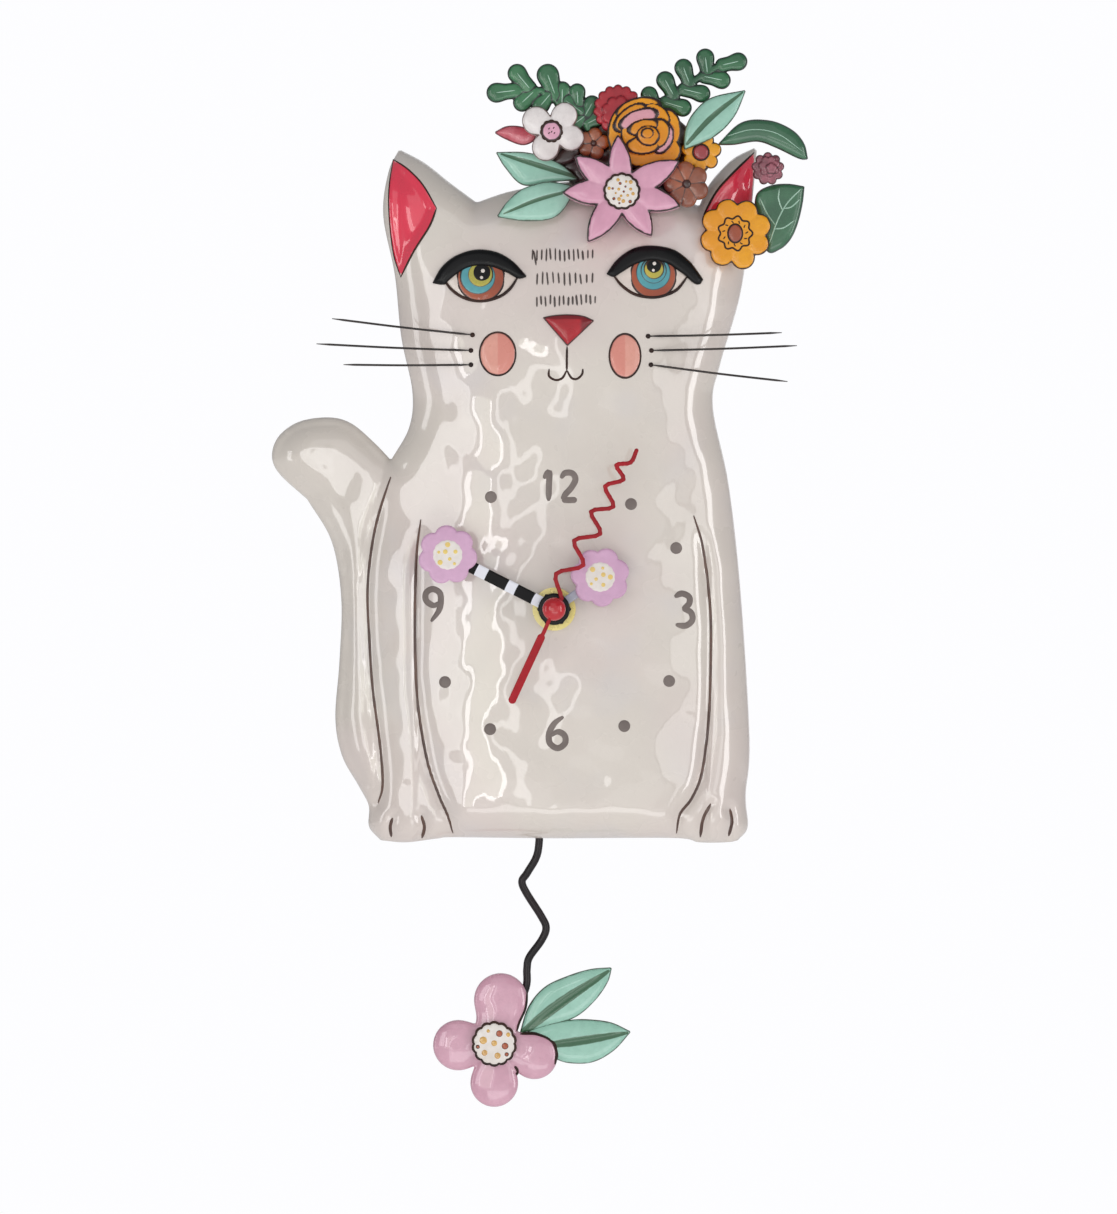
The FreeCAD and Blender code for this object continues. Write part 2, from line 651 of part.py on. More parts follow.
def electrics(arbors):
    """Drive coil on the stator's leg, stator round the rotor, quartz crystal on its board."""
    leg, thick = 22.0, 1.0
    core = plate(rectangle(leg - 1, leg + 1, -8, 10), thick)
    pole = plate(rectangle(10.6, leg + 1, 8.6, 16.4), thick)
    rotor_hole = Part.makeCylinder(3.1, 3, Vector(arbors["rotor"][0], -1, arbors["rotor"][1]),
                                   Vector(0, 1, 0))
    node("stator", shaped(core.fuse(pole).cut(rotor_hole).removeSplitter(), 0, "26"))
    coil = Part.makeCylinder(3.5, 12, Vector(leg, 0.5, -6), Vector(0, 0, 1))
    coil = coil.cut(Part.makeBox(2, 1, 12, Vector(leg - 1, 0, -6)))
    node("drive_coil", shaped(coil, 0, "26"))
    board = new_body("circuit_board", 0, "Sizes.case_back_depth + Sizes.case_wall")
    pad(board, sketch(board, rectangle(15, 26, -9.5, 9)), "1")
    crystal = Part.makeCylinder(1, 6, Vector(23, 0, -7), Vector(0, 0, 1))
    node("quartz_crystal", shaped(crystal, 0, "Sizes.case_back_depth + Sizes.case_wall + 2"))


def battery_and_contacts():
    half = size("battery_length") / 2
    drop, depth, radius = size("battery_drop"), size("battery_depth"), size("battery_radius")
    axis = Vector(1, 0, 0)
    cell = Part.makeCylinder(radius, 2 * half, Vector(-half, 0, 0), axis)
    nub = Part.makeCylinder(2.6, 0.9, Vector(half, 0, 0), axis)
    node("battery", shaped(cell.fuse(nub), 0, "Sizes.battery_depth", -drop))
    spring = Part.makeCone(3.6, 2.4, 1.1, Vector(-26.0, 0, 0), axis)
    spring = spring.cut(Part.makeCylinder(1.6, 3, Vector(-27, 0, 0), axis))
    strip = Part.makeBox(0.4, 10, 8, Vector(-26.4, -5, -4))
    node("battery_contact_negative", shaped(spring.fuse(strip), 0, "Sizes.battery_depth", -drop))
    tab = Part.makeBox(0.6, 10, 8, Vector(25.8, -5, -4))
    node("battery_contact_positive", shaped(tab, 0, "Sizes.battery_depth", -drop))


# ---------------------------------------------------------------- hands

HOUR_FLOWER = (17.7, 12.3)
MINUTE_FLOWER = (-40.8, 20.8)
SECOND_ZIGZAG = [(0, 0), (2.8, 4.2), (0.8, 13.5), (11.2, 16.9), (7.7, 26.2), (17.7, 28.9),
                 (14.2, 37.3), (22.7, 39.3), (19.6, 47), (26.6, 49.7), (23.9, 55.1), (29.3, 56.2),
                 (31.6, 60.8)]


def hand_flower(name, centre, depth):
    radius = size("hand_flower_radius")
    petal = circle(radius * 0.3, (0, radius * 0.7))
    flower(name, centre, depth, 8, petal, radius * 0.78, "Sizes.hand_flower_thickness")


def hands():
    thick = size("hand_thickness")
    hour = fuse([shaped(ribbon([(0, 0), (11, 7.6)], 3.2, thick), 0, "Sizes.hour_hand_depth + 1.0"),
                 cylinder("4.6", "Sizes.hour_hand_depth + 1.2", "1.2")])
    node("hour_hand", cut(hour, cylinder("Sizes.hour_tube_radius", "60", "60")))
    minute = fuse([shaped(ribbon([(0, 0), (-34, 17.3)], 4.6, thick), 0,
                          "Sizes.minute_hand_depth + 1.0"),
                   cylinder("5.6", "Sizes.minute_hand_depth + 2.6", "2.6")])
    node("minute_hand", cut(minute, cylinder("Sizes.minute_tube_radius", "60", "60")))
    hand_flower("hour_hand_flower", HOUR_FLOWER, "Sizes.hour_hand_depth + 1.0")
    hand_flower("minute_hand_flower", MINUTE_FLOWER, "Sizes.minute_hand_depth + 1.0")
    front = "Sizes.second_hand_depth + 0.8"
    zigzag = ribbon(SECOND_ZIGZAG, 1.5, 0.8)
    tail = ribbon([(0, 0), (-3.7, -8.4)], 1.5, 0.8).fuse(ribbon([(-5, -11), (-16, -34.8)], 3, 0.8))
    link = ribbon([(-3.7, -8.4), (-5, -11)], 1.5, 0.8)
    second = fuse([shaped(zigzag.fuse([tail, link]), 0, front), cylinder("2.2", front, "0.8")])
    node("second_hand", cut(second, cylinder("Sizes.second_arbor_radius", "60", "60")))
    cap = doc.addObject("Part::Cylinder", "Cap")
    bind(cap, Radius="Sizes.cap_radius", Height="Sizes.cap_height")
    place(cap, 0, "Sizes.second_hand_depth + 0.8 + Sizes.cap_height", 0, FACING_WALL)
    dome = doc.addObject("Part::Fillet", "Dome")
    dome.Base = cap
    doc.recompute()
    front_edge = min(range(len(cap.Shape.Edges)), key=lambda i: cap.Shape.Edges[i].BoundBox.YMin
                     + 100 * (cap.Shape.Edges[i].BoundBox.YLength > 1))
    dome.Edges = [(front_edge + 1, 3.4, 3.4)]
    node("second_hand_cap", cut(dome, cylinder("Sizes.second_arbor_radius", "52", "2")))


# ---------------------------------------------------------------- pendulum

ROD_PATH = [(-13.2, -61.2), (-13.2, -70), (-6.5, -80), (-6.5, -94), (-9.6, -99), (-12.5, -104),
            (-7.3, -114.3), (-3.7, -122.4), (-3.7, -125.5), (-9.2, -134.8), (-10.4, -140),
            (-11, -146), (-17, -160)]
BOB_CENTRE = (-23.1, -167.5)


def pendulum():
    pivot = (-size("pivot_side"), -size("pivot_drop"))
    node("pendulum_pivot_pin", cylinder("Sizes.pivot_radius", "Sizes.case_split_depth + 1",
                                        "Sizes.case_split_depth - Sizes.case_back_depth + 0.4",
                                        *pivot))
    body = new_body("pendulum_hanger", pivot[0], "Sizes.pendulum_depth - 1.5", pivot[1])
    arm = "Sizes.hanger_arm_thickness"
    pad(body, sketch(body, circle(3.5)), arm)
    pad(body, sketch(body, rectangle(-2.5, 2.5, -29, 0)), arm)
    pad(body, sketch(body, circle(5.5, (0, -15))), arm)
    pad(body, sketch(body, rectangle(-3, 3, -33, -27)), arm)
    pocket(body, sketch(body, circle(size("pivot_radius") + 0.06)), forward=True)
    socket = sketch(body, circle(size("rod_radius"), (0, -(size("hanger_arm_thickness") / 2))),
                    "XY_Plane", forward="-33")
    socket_cut = pocket(body, socket, "5", forward=True)
    socket_cut.Reversed = True
    node("pendulum_magnet", cylinder("5", "Sizes.pendulum_depth + 3.5", "2", pivot[0],
                                     pivot[1] - 15))
    coil = cut(cylinder("7", "Sizes.case_split_depth", "6.5", pivot[0], pivot[1] - 15),
               cylinder("2", "40", "40", pivot[0], pivot[1] - 15))
    node("pendulum_coil", coil)
    depth = size("pendulum_depth")
    rod = wire([(right, depth, up) for right, up in ROD_PATH], size("rod_radius"))
    node("pendulum_rod", shaped(rod))
    bob_back = "Sizes.pendulum_depth"
    flower("bob_flower", BOB_CENTRE, bob_back, 4, circle(10.2, (1.4, 15.2)), 12, "Sizes.bob_thickness")
    middle = new_body("bob_flower_centre", BOB_CENTRE[0],
                      "Sizes.pendulum_depth + Sizes.bob_thickness", BOB_CENTRE[1])
    pad(middle, sketch(middle, circle(8.5)), "3")
    leaf("bob_leaf_upper", (-9, -160.5), (22.3, -138.2), 7.6, 7.6, "Sizes.pendulum_depth + 1.5")
    leaf("bob_leaf_lower", (-3, -164.4), (30, -163.6), 4.8, 12, "Sizes.pendulum_depth + 1.5")


def check_and_write():
    doc.recompute()
    for item in doc.Objects:
        if "Invalid" in item.State or "Error" in item.State:
            raise RuntimeError(f"{item.Name} ({item.Label}) failed: {item.State}")
    os.makedirs("parts", exist_ok=True)
    for name, item in NODES.items():
        shape = item.Shape
        if shape.isNull() or not shape.isValid():
            raise RuntimeError(f"{name} has no valid shape")
        shape.exportStep(f"parts/{name}.step")
        print(f"{name}: {len(shape.Solids)} solids, {shape.Volume / 1000:.2f} cm3")


fill_sheet()
body_shell()
wall_hanger()
crown()
whiskers()
places = gear_train()
movement_case(places)
shaft_fittings()
electrics(places)
battery_and_contacts()
hands()
pendulum()
check_and_write()
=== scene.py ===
import bpy
import json
import math
import numpy as np
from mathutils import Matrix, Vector

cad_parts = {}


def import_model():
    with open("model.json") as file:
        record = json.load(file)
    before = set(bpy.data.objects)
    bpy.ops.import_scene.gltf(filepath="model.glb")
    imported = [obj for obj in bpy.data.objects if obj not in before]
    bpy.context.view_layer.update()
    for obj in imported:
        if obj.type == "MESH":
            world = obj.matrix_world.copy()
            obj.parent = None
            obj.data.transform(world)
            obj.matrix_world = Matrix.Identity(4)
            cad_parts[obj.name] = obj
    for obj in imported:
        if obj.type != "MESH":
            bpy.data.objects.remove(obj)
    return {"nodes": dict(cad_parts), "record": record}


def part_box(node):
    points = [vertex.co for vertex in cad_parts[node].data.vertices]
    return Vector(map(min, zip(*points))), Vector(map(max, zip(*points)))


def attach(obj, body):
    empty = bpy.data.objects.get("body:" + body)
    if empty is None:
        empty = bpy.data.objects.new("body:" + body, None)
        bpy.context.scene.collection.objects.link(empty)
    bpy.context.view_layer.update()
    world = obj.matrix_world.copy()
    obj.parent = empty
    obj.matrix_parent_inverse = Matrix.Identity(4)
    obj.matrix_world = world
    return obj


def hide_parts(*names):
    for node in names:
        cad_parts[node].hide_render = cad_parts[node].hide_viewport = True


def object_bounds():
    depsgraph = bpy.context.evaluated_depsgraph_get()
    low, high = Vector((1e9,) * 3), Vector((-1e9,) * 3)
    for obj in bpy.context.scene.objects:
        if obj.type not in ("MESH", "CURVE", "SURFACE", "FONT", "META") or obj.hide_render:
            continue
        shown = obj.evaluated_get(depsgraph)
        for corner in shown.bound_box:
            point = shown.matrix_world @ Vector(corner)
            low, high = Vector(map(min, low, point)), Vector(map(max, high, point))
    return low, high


# A glazed cat wall clock. Shapes are drawn in millimetres as (right, up) from the hand shaft, as
# somebody reading the dial sees them; depth is the distance in front of the wall.

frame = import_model()
cad_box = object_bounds()
nodes = frame["nodes"]
MM = 0.001
CAP_LOW, CAP_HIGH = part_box("second_hand_cap")
SHAFT_X = (CAP_LOW.x + CAP_HIGH.x) / 2
SHAFT_Z = (CAP_LOW.z + CAP_HIGH.z) / 2


def back_of(node):
    """Depth of a CAD node's back, mm off the wall."""
    return -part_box(node)[1].y / MM


def front_of(node):
    return -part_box(node)[0].y / MM


def depths(node):
    """Depths of a CAD node's back and front."""
    return back_of(node), front_of(node)


def world(places, off_wall):
    """(right, up) places and how far they stand off the wall, in mm, as coordinates in metres."""
    off_wall = np.broadcast_to(off_wall, len(places))
    return np.column_stack([SHAFT_X + places[:, 0] * MM, -off_wall * MM,
                            SHAFT_Z + places[:, 1] * MM])


# ---------------------------------------------------------------- lines and flat shapes

def curve(points, closed=False, steps=8):
    """A smooth line through the points."""
    given = np.array(points, float)
    if closed:
        ring = np.vstack([given[-1:], given, given[:2]])
    else:
        ring = np.vstack([2 * given[0] - given[1], given, 2 * given[-1] - given[-2]])
    t = np.linspace(0, 1, steps, endpoint=False)[:, None]
    runs = [0.5 * (2 * b + (c - a) * t + (2 * a - 5 * b + 4 * c - d) * t ** 2
                   + (3 * b - a - 3 * c + d) * t ** 3)
            for a, b, c, d in zip(ring, ring[1:], ring[2:], ring[3:])]
    runs.append(given[:1] if closed else given[-1:])
    return np.vstack(runs)


def joined(runs):
    """Smooth runs that meet at sharp corners, as one closed line."""
    return np.vstack([curve(run) for run in runs])


BATCH = 4000  # places measured at a time, so that the tables of distances stay small


def in_batches(places):
    return np.array_split(places, max(1, len(places) // BATCH))


def measure(places, line):
    """Distance from each place to a line, the share of the line passed, and the side: +1 left."""
    start, step = line[:-1], np.diff(line, axis=0)
    square = np.maximum((step ** 2).sum(1), 1e-12)
    results = []
    for part in in_batches(places):
        gap = part[:, None] - start
        share = np.clip((gap * step).sum(2) / square, 0, 1)
        away = ((gap - share[..., None] * step) ** 2).sum(2)
        best = away.argmin(1)
        row = np.arange(len(part))
        cross = step[best, 0] * gap[row, best, 1] - step[best, 1] * gap[row, best, 0]
        results.append(np.column_stack([np.sqrt(away[row, best]),
                                        (best + share[row, best]) / len(step), np.sign(cross)]))
    found = np.vstack(results)
    return found[:, 0], found[:, 1], found[:, 2]


def inside(places, line):
    """Whether each place lies within a closed line."""
    a, b = line, np.roll(line, -1, axis=0)
    rise = np.where(b[:, 1] == a[:, 1], 1e-12, b[:, 1] - a[:, 1])
    results = []
    for part in in_batches(places):
        x, y = part[:, :1], part[:, 1:]
        spans = (a[:, 1] > y) != (b[:, 1] > y)
        crossed = spans & (x < (b[:, 0] - a[:, 0]) * (y - a[:, 1]) / rise + a[:, 0])
        results.append(crossed.sum(1) % 2 == 1)
    return np.concatenate(results)


class Shape:
    """A flat shape: a distance to its edge in mm, negative inside, and the box it lies in."""

    def __init__(self, distance, low, high):
        self.distance = distance
        self.low = np.array(low, float)
        self.high = np.array(high, float)


def outline(line):
    line = np.asarray(line, float)
    closed = np.vstack([line, line[:1]])

    def distance(places):
        away = measure(places, closed)[0]
        return np.where(inside(places, line), -away, away)
    return Shape(distance, line.min(0), line.max(0))


def ellipse(centre, wide, high, turn=0.0):
    """An ellipse with half sizes wide and high, turned anticlockwise by degrees."""
    centre = np.array(centre, float)
    cosine, sine = math.cos(math.radians(turn)), math.sin(math.radians(turn))
    reach = max(wide, high)

    def distance(places):
        gap = places - centre
        x = (gap[:, 0] * cosine + gap[:, 1] * sine) / wide
        y = (gap[:, 1] * cosine - gap[:, 0] * sine) / high
        return (np.sqrt(x * x + y * y) - 1) * min(wide, high)
    return Shape(distance, centre - reach, centre + reach)


def disc(centre, radius):
    return ellipse(centre, radius, radius)


def pointed(base, tip, half_width):
    """A petal with a point at each end, half_width wide each side of its middle."""
    base, tip = np.array(base, float), np.array(tip, float)
    length = np.linalg.norm(tip - base)
    middle = (base + tip) / 2
    side = np.array([base[1] - tip[1], tip[0] - base[0]]) / length
    radius = (length ** 2 / 4 + half_width ** 2) / (2 * half_width)
    centres = [middle + side * sign * (radius - half_width) for sign in (-1, 1)]

    def distance(places):
        return np.maximum(*[np.linalg.norm(places - c, axis=1) - radius for c in centres])
    return Shape(distance, np.minimum(base, tip) - half_width, np.maximum(base, tip) + half_width)


def bar(start, end, half_width):
    line = np.array([start, end], float)
    return Shape(lambda places: measure(places, line)[0] - half_width,
                 line.min(0) - half_width, line.max(0) + half_width)


def lesser(first, second, blend):
    """The smaller of two distances, blended where they cross."""
    share = np.clip(0.5 + (second - first) / (2 * blend), 0, 1)
    return second + (first - second) * share - blend * share * (1 - share)


def union(shapes, blend=0.0):
    """Shapes together; blend rounds the corners where they meet."""
    def distance(places):
        near = shapes[0].distance(places)
        for shape in shapes[1:]:
            other = shape.distance(places)
            near = lesser(near, other, blend) if blend else np.minimum(near, other)
        return near
    return Shape(distance, np.min([s.low for s in shapes], 0), np.max([s.high for s in shapes], 0))


def lobed(centre, radius, lobes, swell, turn=90.0):
    """A round shape with lobes round its edge."""
    centre = np.array(centre, float)

    def distance(places):
        gap = places - centre
        angle = np.arctan2(gap[:, 1], gap[:, 0]) - math.radians(turn)
        wave = np.abs(np.cos(angle * lobes / 2)) ** 0.7
        return np.linalg.norm(gap, axis=1) - radius * (1 - swell + swell * wave)
    return Shape(distance, centre - radius, centre + radius)


# ---------------------------------------------------------------- surfaces in relief

def ease(value, low, high):
    """0 below low, 1 above high, smooth between."""
    share = np.clip((value - low) / (high - low), 0, 1)
    return share * share * (3 - 2 * share)


def dome(inset, reach):
    """How high a domed surface is, 0 to 1, at a distance in from its edge."""
    return np.sqrt(1 - (1 - np.clip(inset / reach, 0, 1)) ** 2)


def rounding(inset, radius, start):
    """How far a rounded edge has dropped at a distance in from it."""
    share = np.clip((inset + start * radius) / (radius * (1 + start)), 0, 1)
    return radius * (1 - np.sqrt(1 - (1 - share) ** 2))


def waves(places, seed, longest, shortest, count=10):
    """An uneven, slowly rolling surface between about -1 and 1."""
    chance = np.random.default_rng(seed)
    total = np.zeros(len(places))
    for length in np.geomspace(longest, shortest, count):
        angle, phase = chance.uniform(0, 2 * math.pi, 2)
        direction = np.array([math.cos(angle), math.sin(angle)]) * 2 * math.pi / length
        total += np.sin(places @ direction + phase) * (length / longest) ** 0.6
    return total / count ** 0.5


def kept_cells(shape, pitch):
    """Grid lines over a shape and the cells whose middles it holds, without loose corners."""
    across = np.arange(shape.low[0] - 1.5 * pitch, shape.high[0] + 2.5 * pitch, pitch)
    upward = np.arange(shape.low[1] - 1.5 * pitch, shape.high[1] + 2.5 * pitch, pitch)
    middles = np.stack(np.meshgrid(across[:-1] + pitch / 2, upward[:-1] + pitch / 2,
                                   indexing="ij"), -1)
    cells = (shape.distance(middles.reshape(-1, 2)) < 0).reshape(middles.shape[:2])
    for _ in range(4):
        around = np.pad(cells, 1)
        beside = (around[:-2, 1:-1].astype(int) + around[2:, 1:-1] + around[1:-1, :-2]
                  + around[1:-1, 2:])
        cells &= beside >= 2
        corner = cells[:-1, :-1] & cells[1:, 1:] & ~cells[1:, :-1] & ~cells[:-1, 1:]
        cells[:-1, :-1] &= ~corner
        corner = cells[1:, :-1] & cells[:-1, 1:] & ~cells[:-1, :-1] & ~cells[1:, 1:]
        cells[1:, :-1] &= ~corner
    return across, upward, cells


def pulled_to_edge(places, shape):
    """Places moved straight onto the edge of a shape."""
    small = 0.02
    away = shape.distance(places)
    slope = np.column_stack([
        (shape.distance(places + step) - shape.distance(places - step)) / (2 * small)
        for step in (np.array([small, 0]), np.array([0, small]))])
    square = np.maximum((slope ** 2).sum(1), 0.25)
    return places - slope * (away / square)[:, None]


def flat_sheet(shape, pitch):
    """A sheet of quads that fills a shape: places, quads, and the edges round it in order."""
    across, upward, cells = kept_cells(shape, pitch)
    rows, columns = np.nonzero(cells)
    stride = len(upward)
    first = rows * stride + columns
    quads = np.column_stack([first, first + stride, first + stride + 1, first + 1])
    around = np.pad(cells, 1)
    rim = []
    for (row_step, column_step), (a, b) in {(0, -1): (0, 1), (1, 0): (1, 2), (0, 1): (2, 3),
                                            (-1, 0): (3, 0)}.items():
        open_side = ~around[rows + 1 + row_step, columns + 1 + column_step]
        rim.append(quads[open_side][:, [a, b]])
    rim = np.vstack(rim)
    used, packed = np.unique(quads, return_inverse=True)
    quads = packed.reshape(quads.shape)
    rim = np.searchsorted(used, rim)
    places = np.column_stack([across[used // stride], upward[used % stride]])
    links = np.vstack([quads[:, [0, 1]], quads[:, [1, 2]], quads[:, [2, 3]], quads[:, [3, 0]]])
    count = np.bincount(links[:, 0], minlength=len(places)).astype(float)
    on_rim = np.zeros(len(places), bool)
    on_rim[rim] = True
    for _ in range(10):
        total = np.column_stack([np.bincount(links[:, 0], places[links[:, 1], axis],
                                             len(places)) for axis in (0, 1)])
        total += np.column_stack([np.bincount(links[:, 1], places[links[:, 0], axis],
                                              len(places)) for axis in (0, 1)])
        inner = total / (2 * count)[:, None]
        beside = np.zeros_like(places)
        np.add.at(beside, rim[:, 0], places[rim[:, 1]])
        np.add.at(beside, rim[:, 1], places[rim[:, 0]])
        places = np.where(on_rim[:, None], 0.5 * places + 0.25 * beside, inner)
        places[on_rim] = pulled_to_edge(places[on_rim], shape)
    return places, quads, rim


def build_mesh(name, corners, faces, measures=None, crease=50):
    """A smooth mesh object from corner coordinates in metres and faces of one size."""
    mesh = bpy.data.meshes.new(name)
    size = faces.shape[1]
    mesh.vertices.add(len(corners))
    mesh.vertices.foreach_set("co", corners.ravel().astype(np.float32))
    mesh.loops.add(faces.size)
    mesh.loops.foreach_set("vertex_index", faces.ravel().astype(np.int32))
    mesh.polygons.add(len(faces))
    mesh.polygons.foreach_set("loop_start", np.arange(0, faces.size, size, dtype=np.int32))
    for label, values in (measures or {}).items():
        layer = mesh.attributes.new(label, "FLOAT", "POINT")
        layer.data.foreach_set("value", np.asarray(values, np.float32))
    mesh.update(calc_edges=True)
    mesh.validate()
    mesh.polygons.foreach_set("use_smooth", np.ones(len(mesh.polygons), bool))
    mesh.set_sharp_from_angle(angle=math.radians(crease))
    piece = bpy.data.objects.new(name, mesh)
    bpy.context.scene.collection.objects.link(piece)
    return piece


UNPAINTED = 9.0  # a measure beyond the reach of every mark
THINNEST = 0.2


def relief(name, shape, pitch, front, back, measures=None, side_steps=1):
    """A closed piece of one shape. front(places, inset) and back give depths in mm; measures are
    named functions of places and inset, stored on the front for the paint to read."""
    places, quads, rim = flat_sheet(shape, pitch)
    inset = np.maximum(-shape.distance(places), 0)
    near = front(places, inset)
    far = back(places, inset) if callable(back) else np.full(len(places), float(back))
    near = np.maximum(near, far + THINNEST)
    count = len(places)
    corners = [world(places, near), world(places, far)]
    faces = [quads, quads[:, ::-1] + count]
    rim_places = np.unique(rim)
    order = np.full(count, -1)
    order[rim_places] = np.arange(len(rim_places))
    previous = rim
    for step in range(1, side_steps):
        share = step / side_steps
        base = sum(len(c) for c in corners)
        level = near[rim_places] * (1 - share) + far[rim_places] * share
        corners.append(world(places[rim_places], level))
        ring = order[rim] + base
        faces.append(np.column_stack([previous[:, 1], previous[:, 0], ring[:, 0], ring[:, 1]]))
        previous = ring
    last = rim + count
    faces.append(np.column_stack([previous[:, 1], previous[:, 0], last[:, 0], last[:, 1]]))
    stored = {}
    for label, function in {"inset": lambda p, i: i, **(measures or {})}.items():
        elsewhere = np.full(sum(len(c) for c in corners) - count, UNPAINTED)
        stored[label] = np.concatenate([function(places, inset), elsewhere])
    return build_mesh(name, np.vstack(corners), np.vstack(faces), stored)


def end_cap(ring, count):
    """Quads that close the ring of corners at one end."""
    last = len(ring) - 1
    return np.array([[ring[k], ring[k + 1], ring[last - 1 - k], ring[last - k]]
                     for k in range(count)])


def joined_rings(index):
    """Quads between each ring of corners and the next."""
    following = np.roll(index, -1, axis=1)
    return np.stack([index[:-1], index[1:], following[1:], following[:-1]], -1).reshape(-1, 4)


def strokes(name, lines, surface, width, rise=0.25, sink=0.3, taper=True):
    """Brush strokes that follow a surface: raised ridges of colour with a rounded section."""
    corners, faces = [], []
    section = [(-1, -sink), (-0.98, 0.02), (-0.7, 0.7 * rise), (0, rise), (0.7, 0.7 * rise),
               (0.98, 0.02), (1, -sink)]
    base = 0
    for entry in lines:
        points, wide = entry if isinstance(entry, tuple) else (entry, width)
        line = curve(points, steps=6) if len(points) > 2 else np.linspace(points[0], points[-1], 7)
        along = np.gradient(line, axis=0)
        along /= np.maximum(np.linalg.norm(along, axis=1), 1e-9)[:, None]
        side = np.column_stack([along[:, 1], -along[:, 0]])
        share = np.linspace(0, 1, len(line))
        half = np.full(len(line), wide / 2)
        if taper:
            half = half * (0.35 + 0.65 * np.sqrt(np.clip(np.minimum(share, 1 - share) * 6, 0, 1)))
        rings = []
        for offset, lift in section:
            at = line + side * (offset * half)[:, None]
            rings.append(world(at, surface(at) + lift))
        ring = np.stack(rings, 1)
        corners.append(ring.reshape(-1, 3))
        around, count = len(section), len(line)
        index = np.arange(count * around).reshape(count, around) + base
        faces.append(joined_rings(index))
        faces += [end_cap(index[0], 3), end_cap(index[-1], 3)[:, ::-1]]
        base += count * around
    return build_mesh(name, np.vstack(corners), np.vstack(faces), crease=60)


def wire(name, lines, radius, sides=12):
    """Round wire through (right, depth, up) points."""
    corners, faces, base = [], [], 0
    for points in lines:
        line = curve(points, steps=6) if len(points) > 2 else np.linspace(points[0], points[1], 12)
        along = np.gradient(line, axis=0)
        along /= np.linalg.norm(along, axis=1)[:, None]
        forward = np.array([0.0, 1.0, 0.0])
        side = np.cross(along, forward)
        side /= np.linalg.norm(side, axis=1)[:, None]
        other = np.cross(side, along)
        turns = np.linspace(0, 2 * math.pi, sides, endpoint=False)
        thin = np.ones(len(line))
        thin[[0, -1]] = 0.35
        ring = (line[:, None] + radius * thin[:, None, None]
                * (side[:, None] * np.cos(turns)[None, :, None]
                   + other[:, None] * np.sin(turns)[None, :, None]))
        flat = ring.reshape(-1, 3)
        corners.append(world(flat[:, [0, 2]], flat[:, 1]))
        index = np.arange(len(flat)).reshape(len(line), sides) + base
        following = np.roll(index, -1, axis=1)
        faces.append(np.stack([index[:-1], following[:-1], following[1:], index[1:]],
                              -1).reshape(-1, 4))
        quads = sides // 2 - 1
        faces += [end_cap(index[0], quads)[:, ::-1], end_cap(index[-1], quads)]
        base += len(flat)
    return build_mesh(name, np.vstack(corners), np.vstack(faces), crease=70)


# ---------------------------------------------------------------- materials

def srgb(red, green, blue):
    """A colour as the eye knows it, 0 to 255, in linear light."""
    return tuple(((c / 255 + 0.055) / 1.055) ** 2.4 if c > 10 else c / 255 / 12.92
                 for c in (red, green, blue)) + (1.0,)


def add(tree, kind, inputs=None, **settings):
    """A shader node; inputs are values or other nodes' sockets."""
    item = tree.nodes.new(kind)
    for key, value in settings.items():
        setattr(item, key, value)
    for key, value in (inputs or {}).items():
        if isinstance(value, bpy.types.NodeSocket):
            tree.links.new(value, item.inputs[key])
        else:
            item.inputs[key].default_value = value
    return item


def mix(tree, factor, first, second):
    return add(tree, "ShaderNodeMix", {0: factor, 6: first, 7: second},
               data_type="RGBA").outputs[2]


def noise(tree, scale, detail=2.0, roughness=0.5):
    """Cloudy noise from 0 to 1; scale is features per metre."""
    place = add(tree, "ShaderNodeTexCoord").outputs["Object"]
    return add(tree, "ShaderNodeTexNoise", {"Vector": place, "Scale": scale, "Detail": detail,
                                            "Roughness": roughness}).outputs["Fac"]


def between(tree, value, low, high, start=0.0, end=1.0):
    return add(tree, "ShaderNodeMapRange", {"Value": value, "From Min": low, "From Max": high,
                                            "To Min": start, "To Max": end},
               interpolation_type="SMOOTHSTEP").outputs[0]


def calculate(tree, operation, first, second=0.0):
    return add(tree, "ShaderNodeMath", {0: first, 1: second}, operation=operation).outputs[0]


def mark(tree, colour, label, reach, paint, blur=0.12, wobble=0.2, scale=420.0):
    """Paints over colour where a measure stored on the mesh is less than reach, with the uneven
    edge of a brush."""
    stored = add(tree, "ShaderNodeAttribute", attribute_name=label).outputs["Fac"]
    uneven = calculate(tree, "MULTIPLY", calculate(tree, "SUBTRACT", noise(tree, scale), 0.5),
                       wobble * 2)
    value = calculate(tree, "ADD", stored, uneven)
    return mix(tree, between(tree, value, reach - blur, reach + blur, 1.0, 0.0), colour, paint)


def finish_material(name, paint, roughness=0.3, coat=1.0, coat_roughness=0.04, metallic=0.0,
                    bump=0.1, bump_scale=260.0, bump_height=0.0002, coat_ior=1.75, wear=0.08,
                    specular=0.5):
    """A material whose colour comes from paint(tree)."""
    material = bpy.data.materials.new(name)
    material.use_nodes = True
    tree = material.node_tree
    shader = tree.nodes["Principled BSDF"]
    tree.links.new(paint(tree), shader.inputs["Base Color"])
    uneven = between(tree, noise(tree, bump_scale * 0.6, 3.0), 0.3, 0.7, roughness - wear / 2,
                     roughness + wear / 2)
    tree.links.new(uneven, shader.inputs["Roughness"])
    shader.inputs["Metallic"].default_value = metallic
    shader.inputs["Specular IOR Level"].default_value = specular
    shader.inputs["Coat Weight"].default_value = coat
    shader.inputs["Coat Roughness"].default_value = coat_roughness
    shader.inputs["Coat IOR"].default_value = coat_ior
    relief_node = add(tree, "ShaderNodeBump", {"Height": noise(tree, bump_scale, 3.0),
                                               "Strength": bump, "Distance": bump_height})
    tree.links.new(relief_node.outputs[0], shader.inputs["Normal"])
    return material


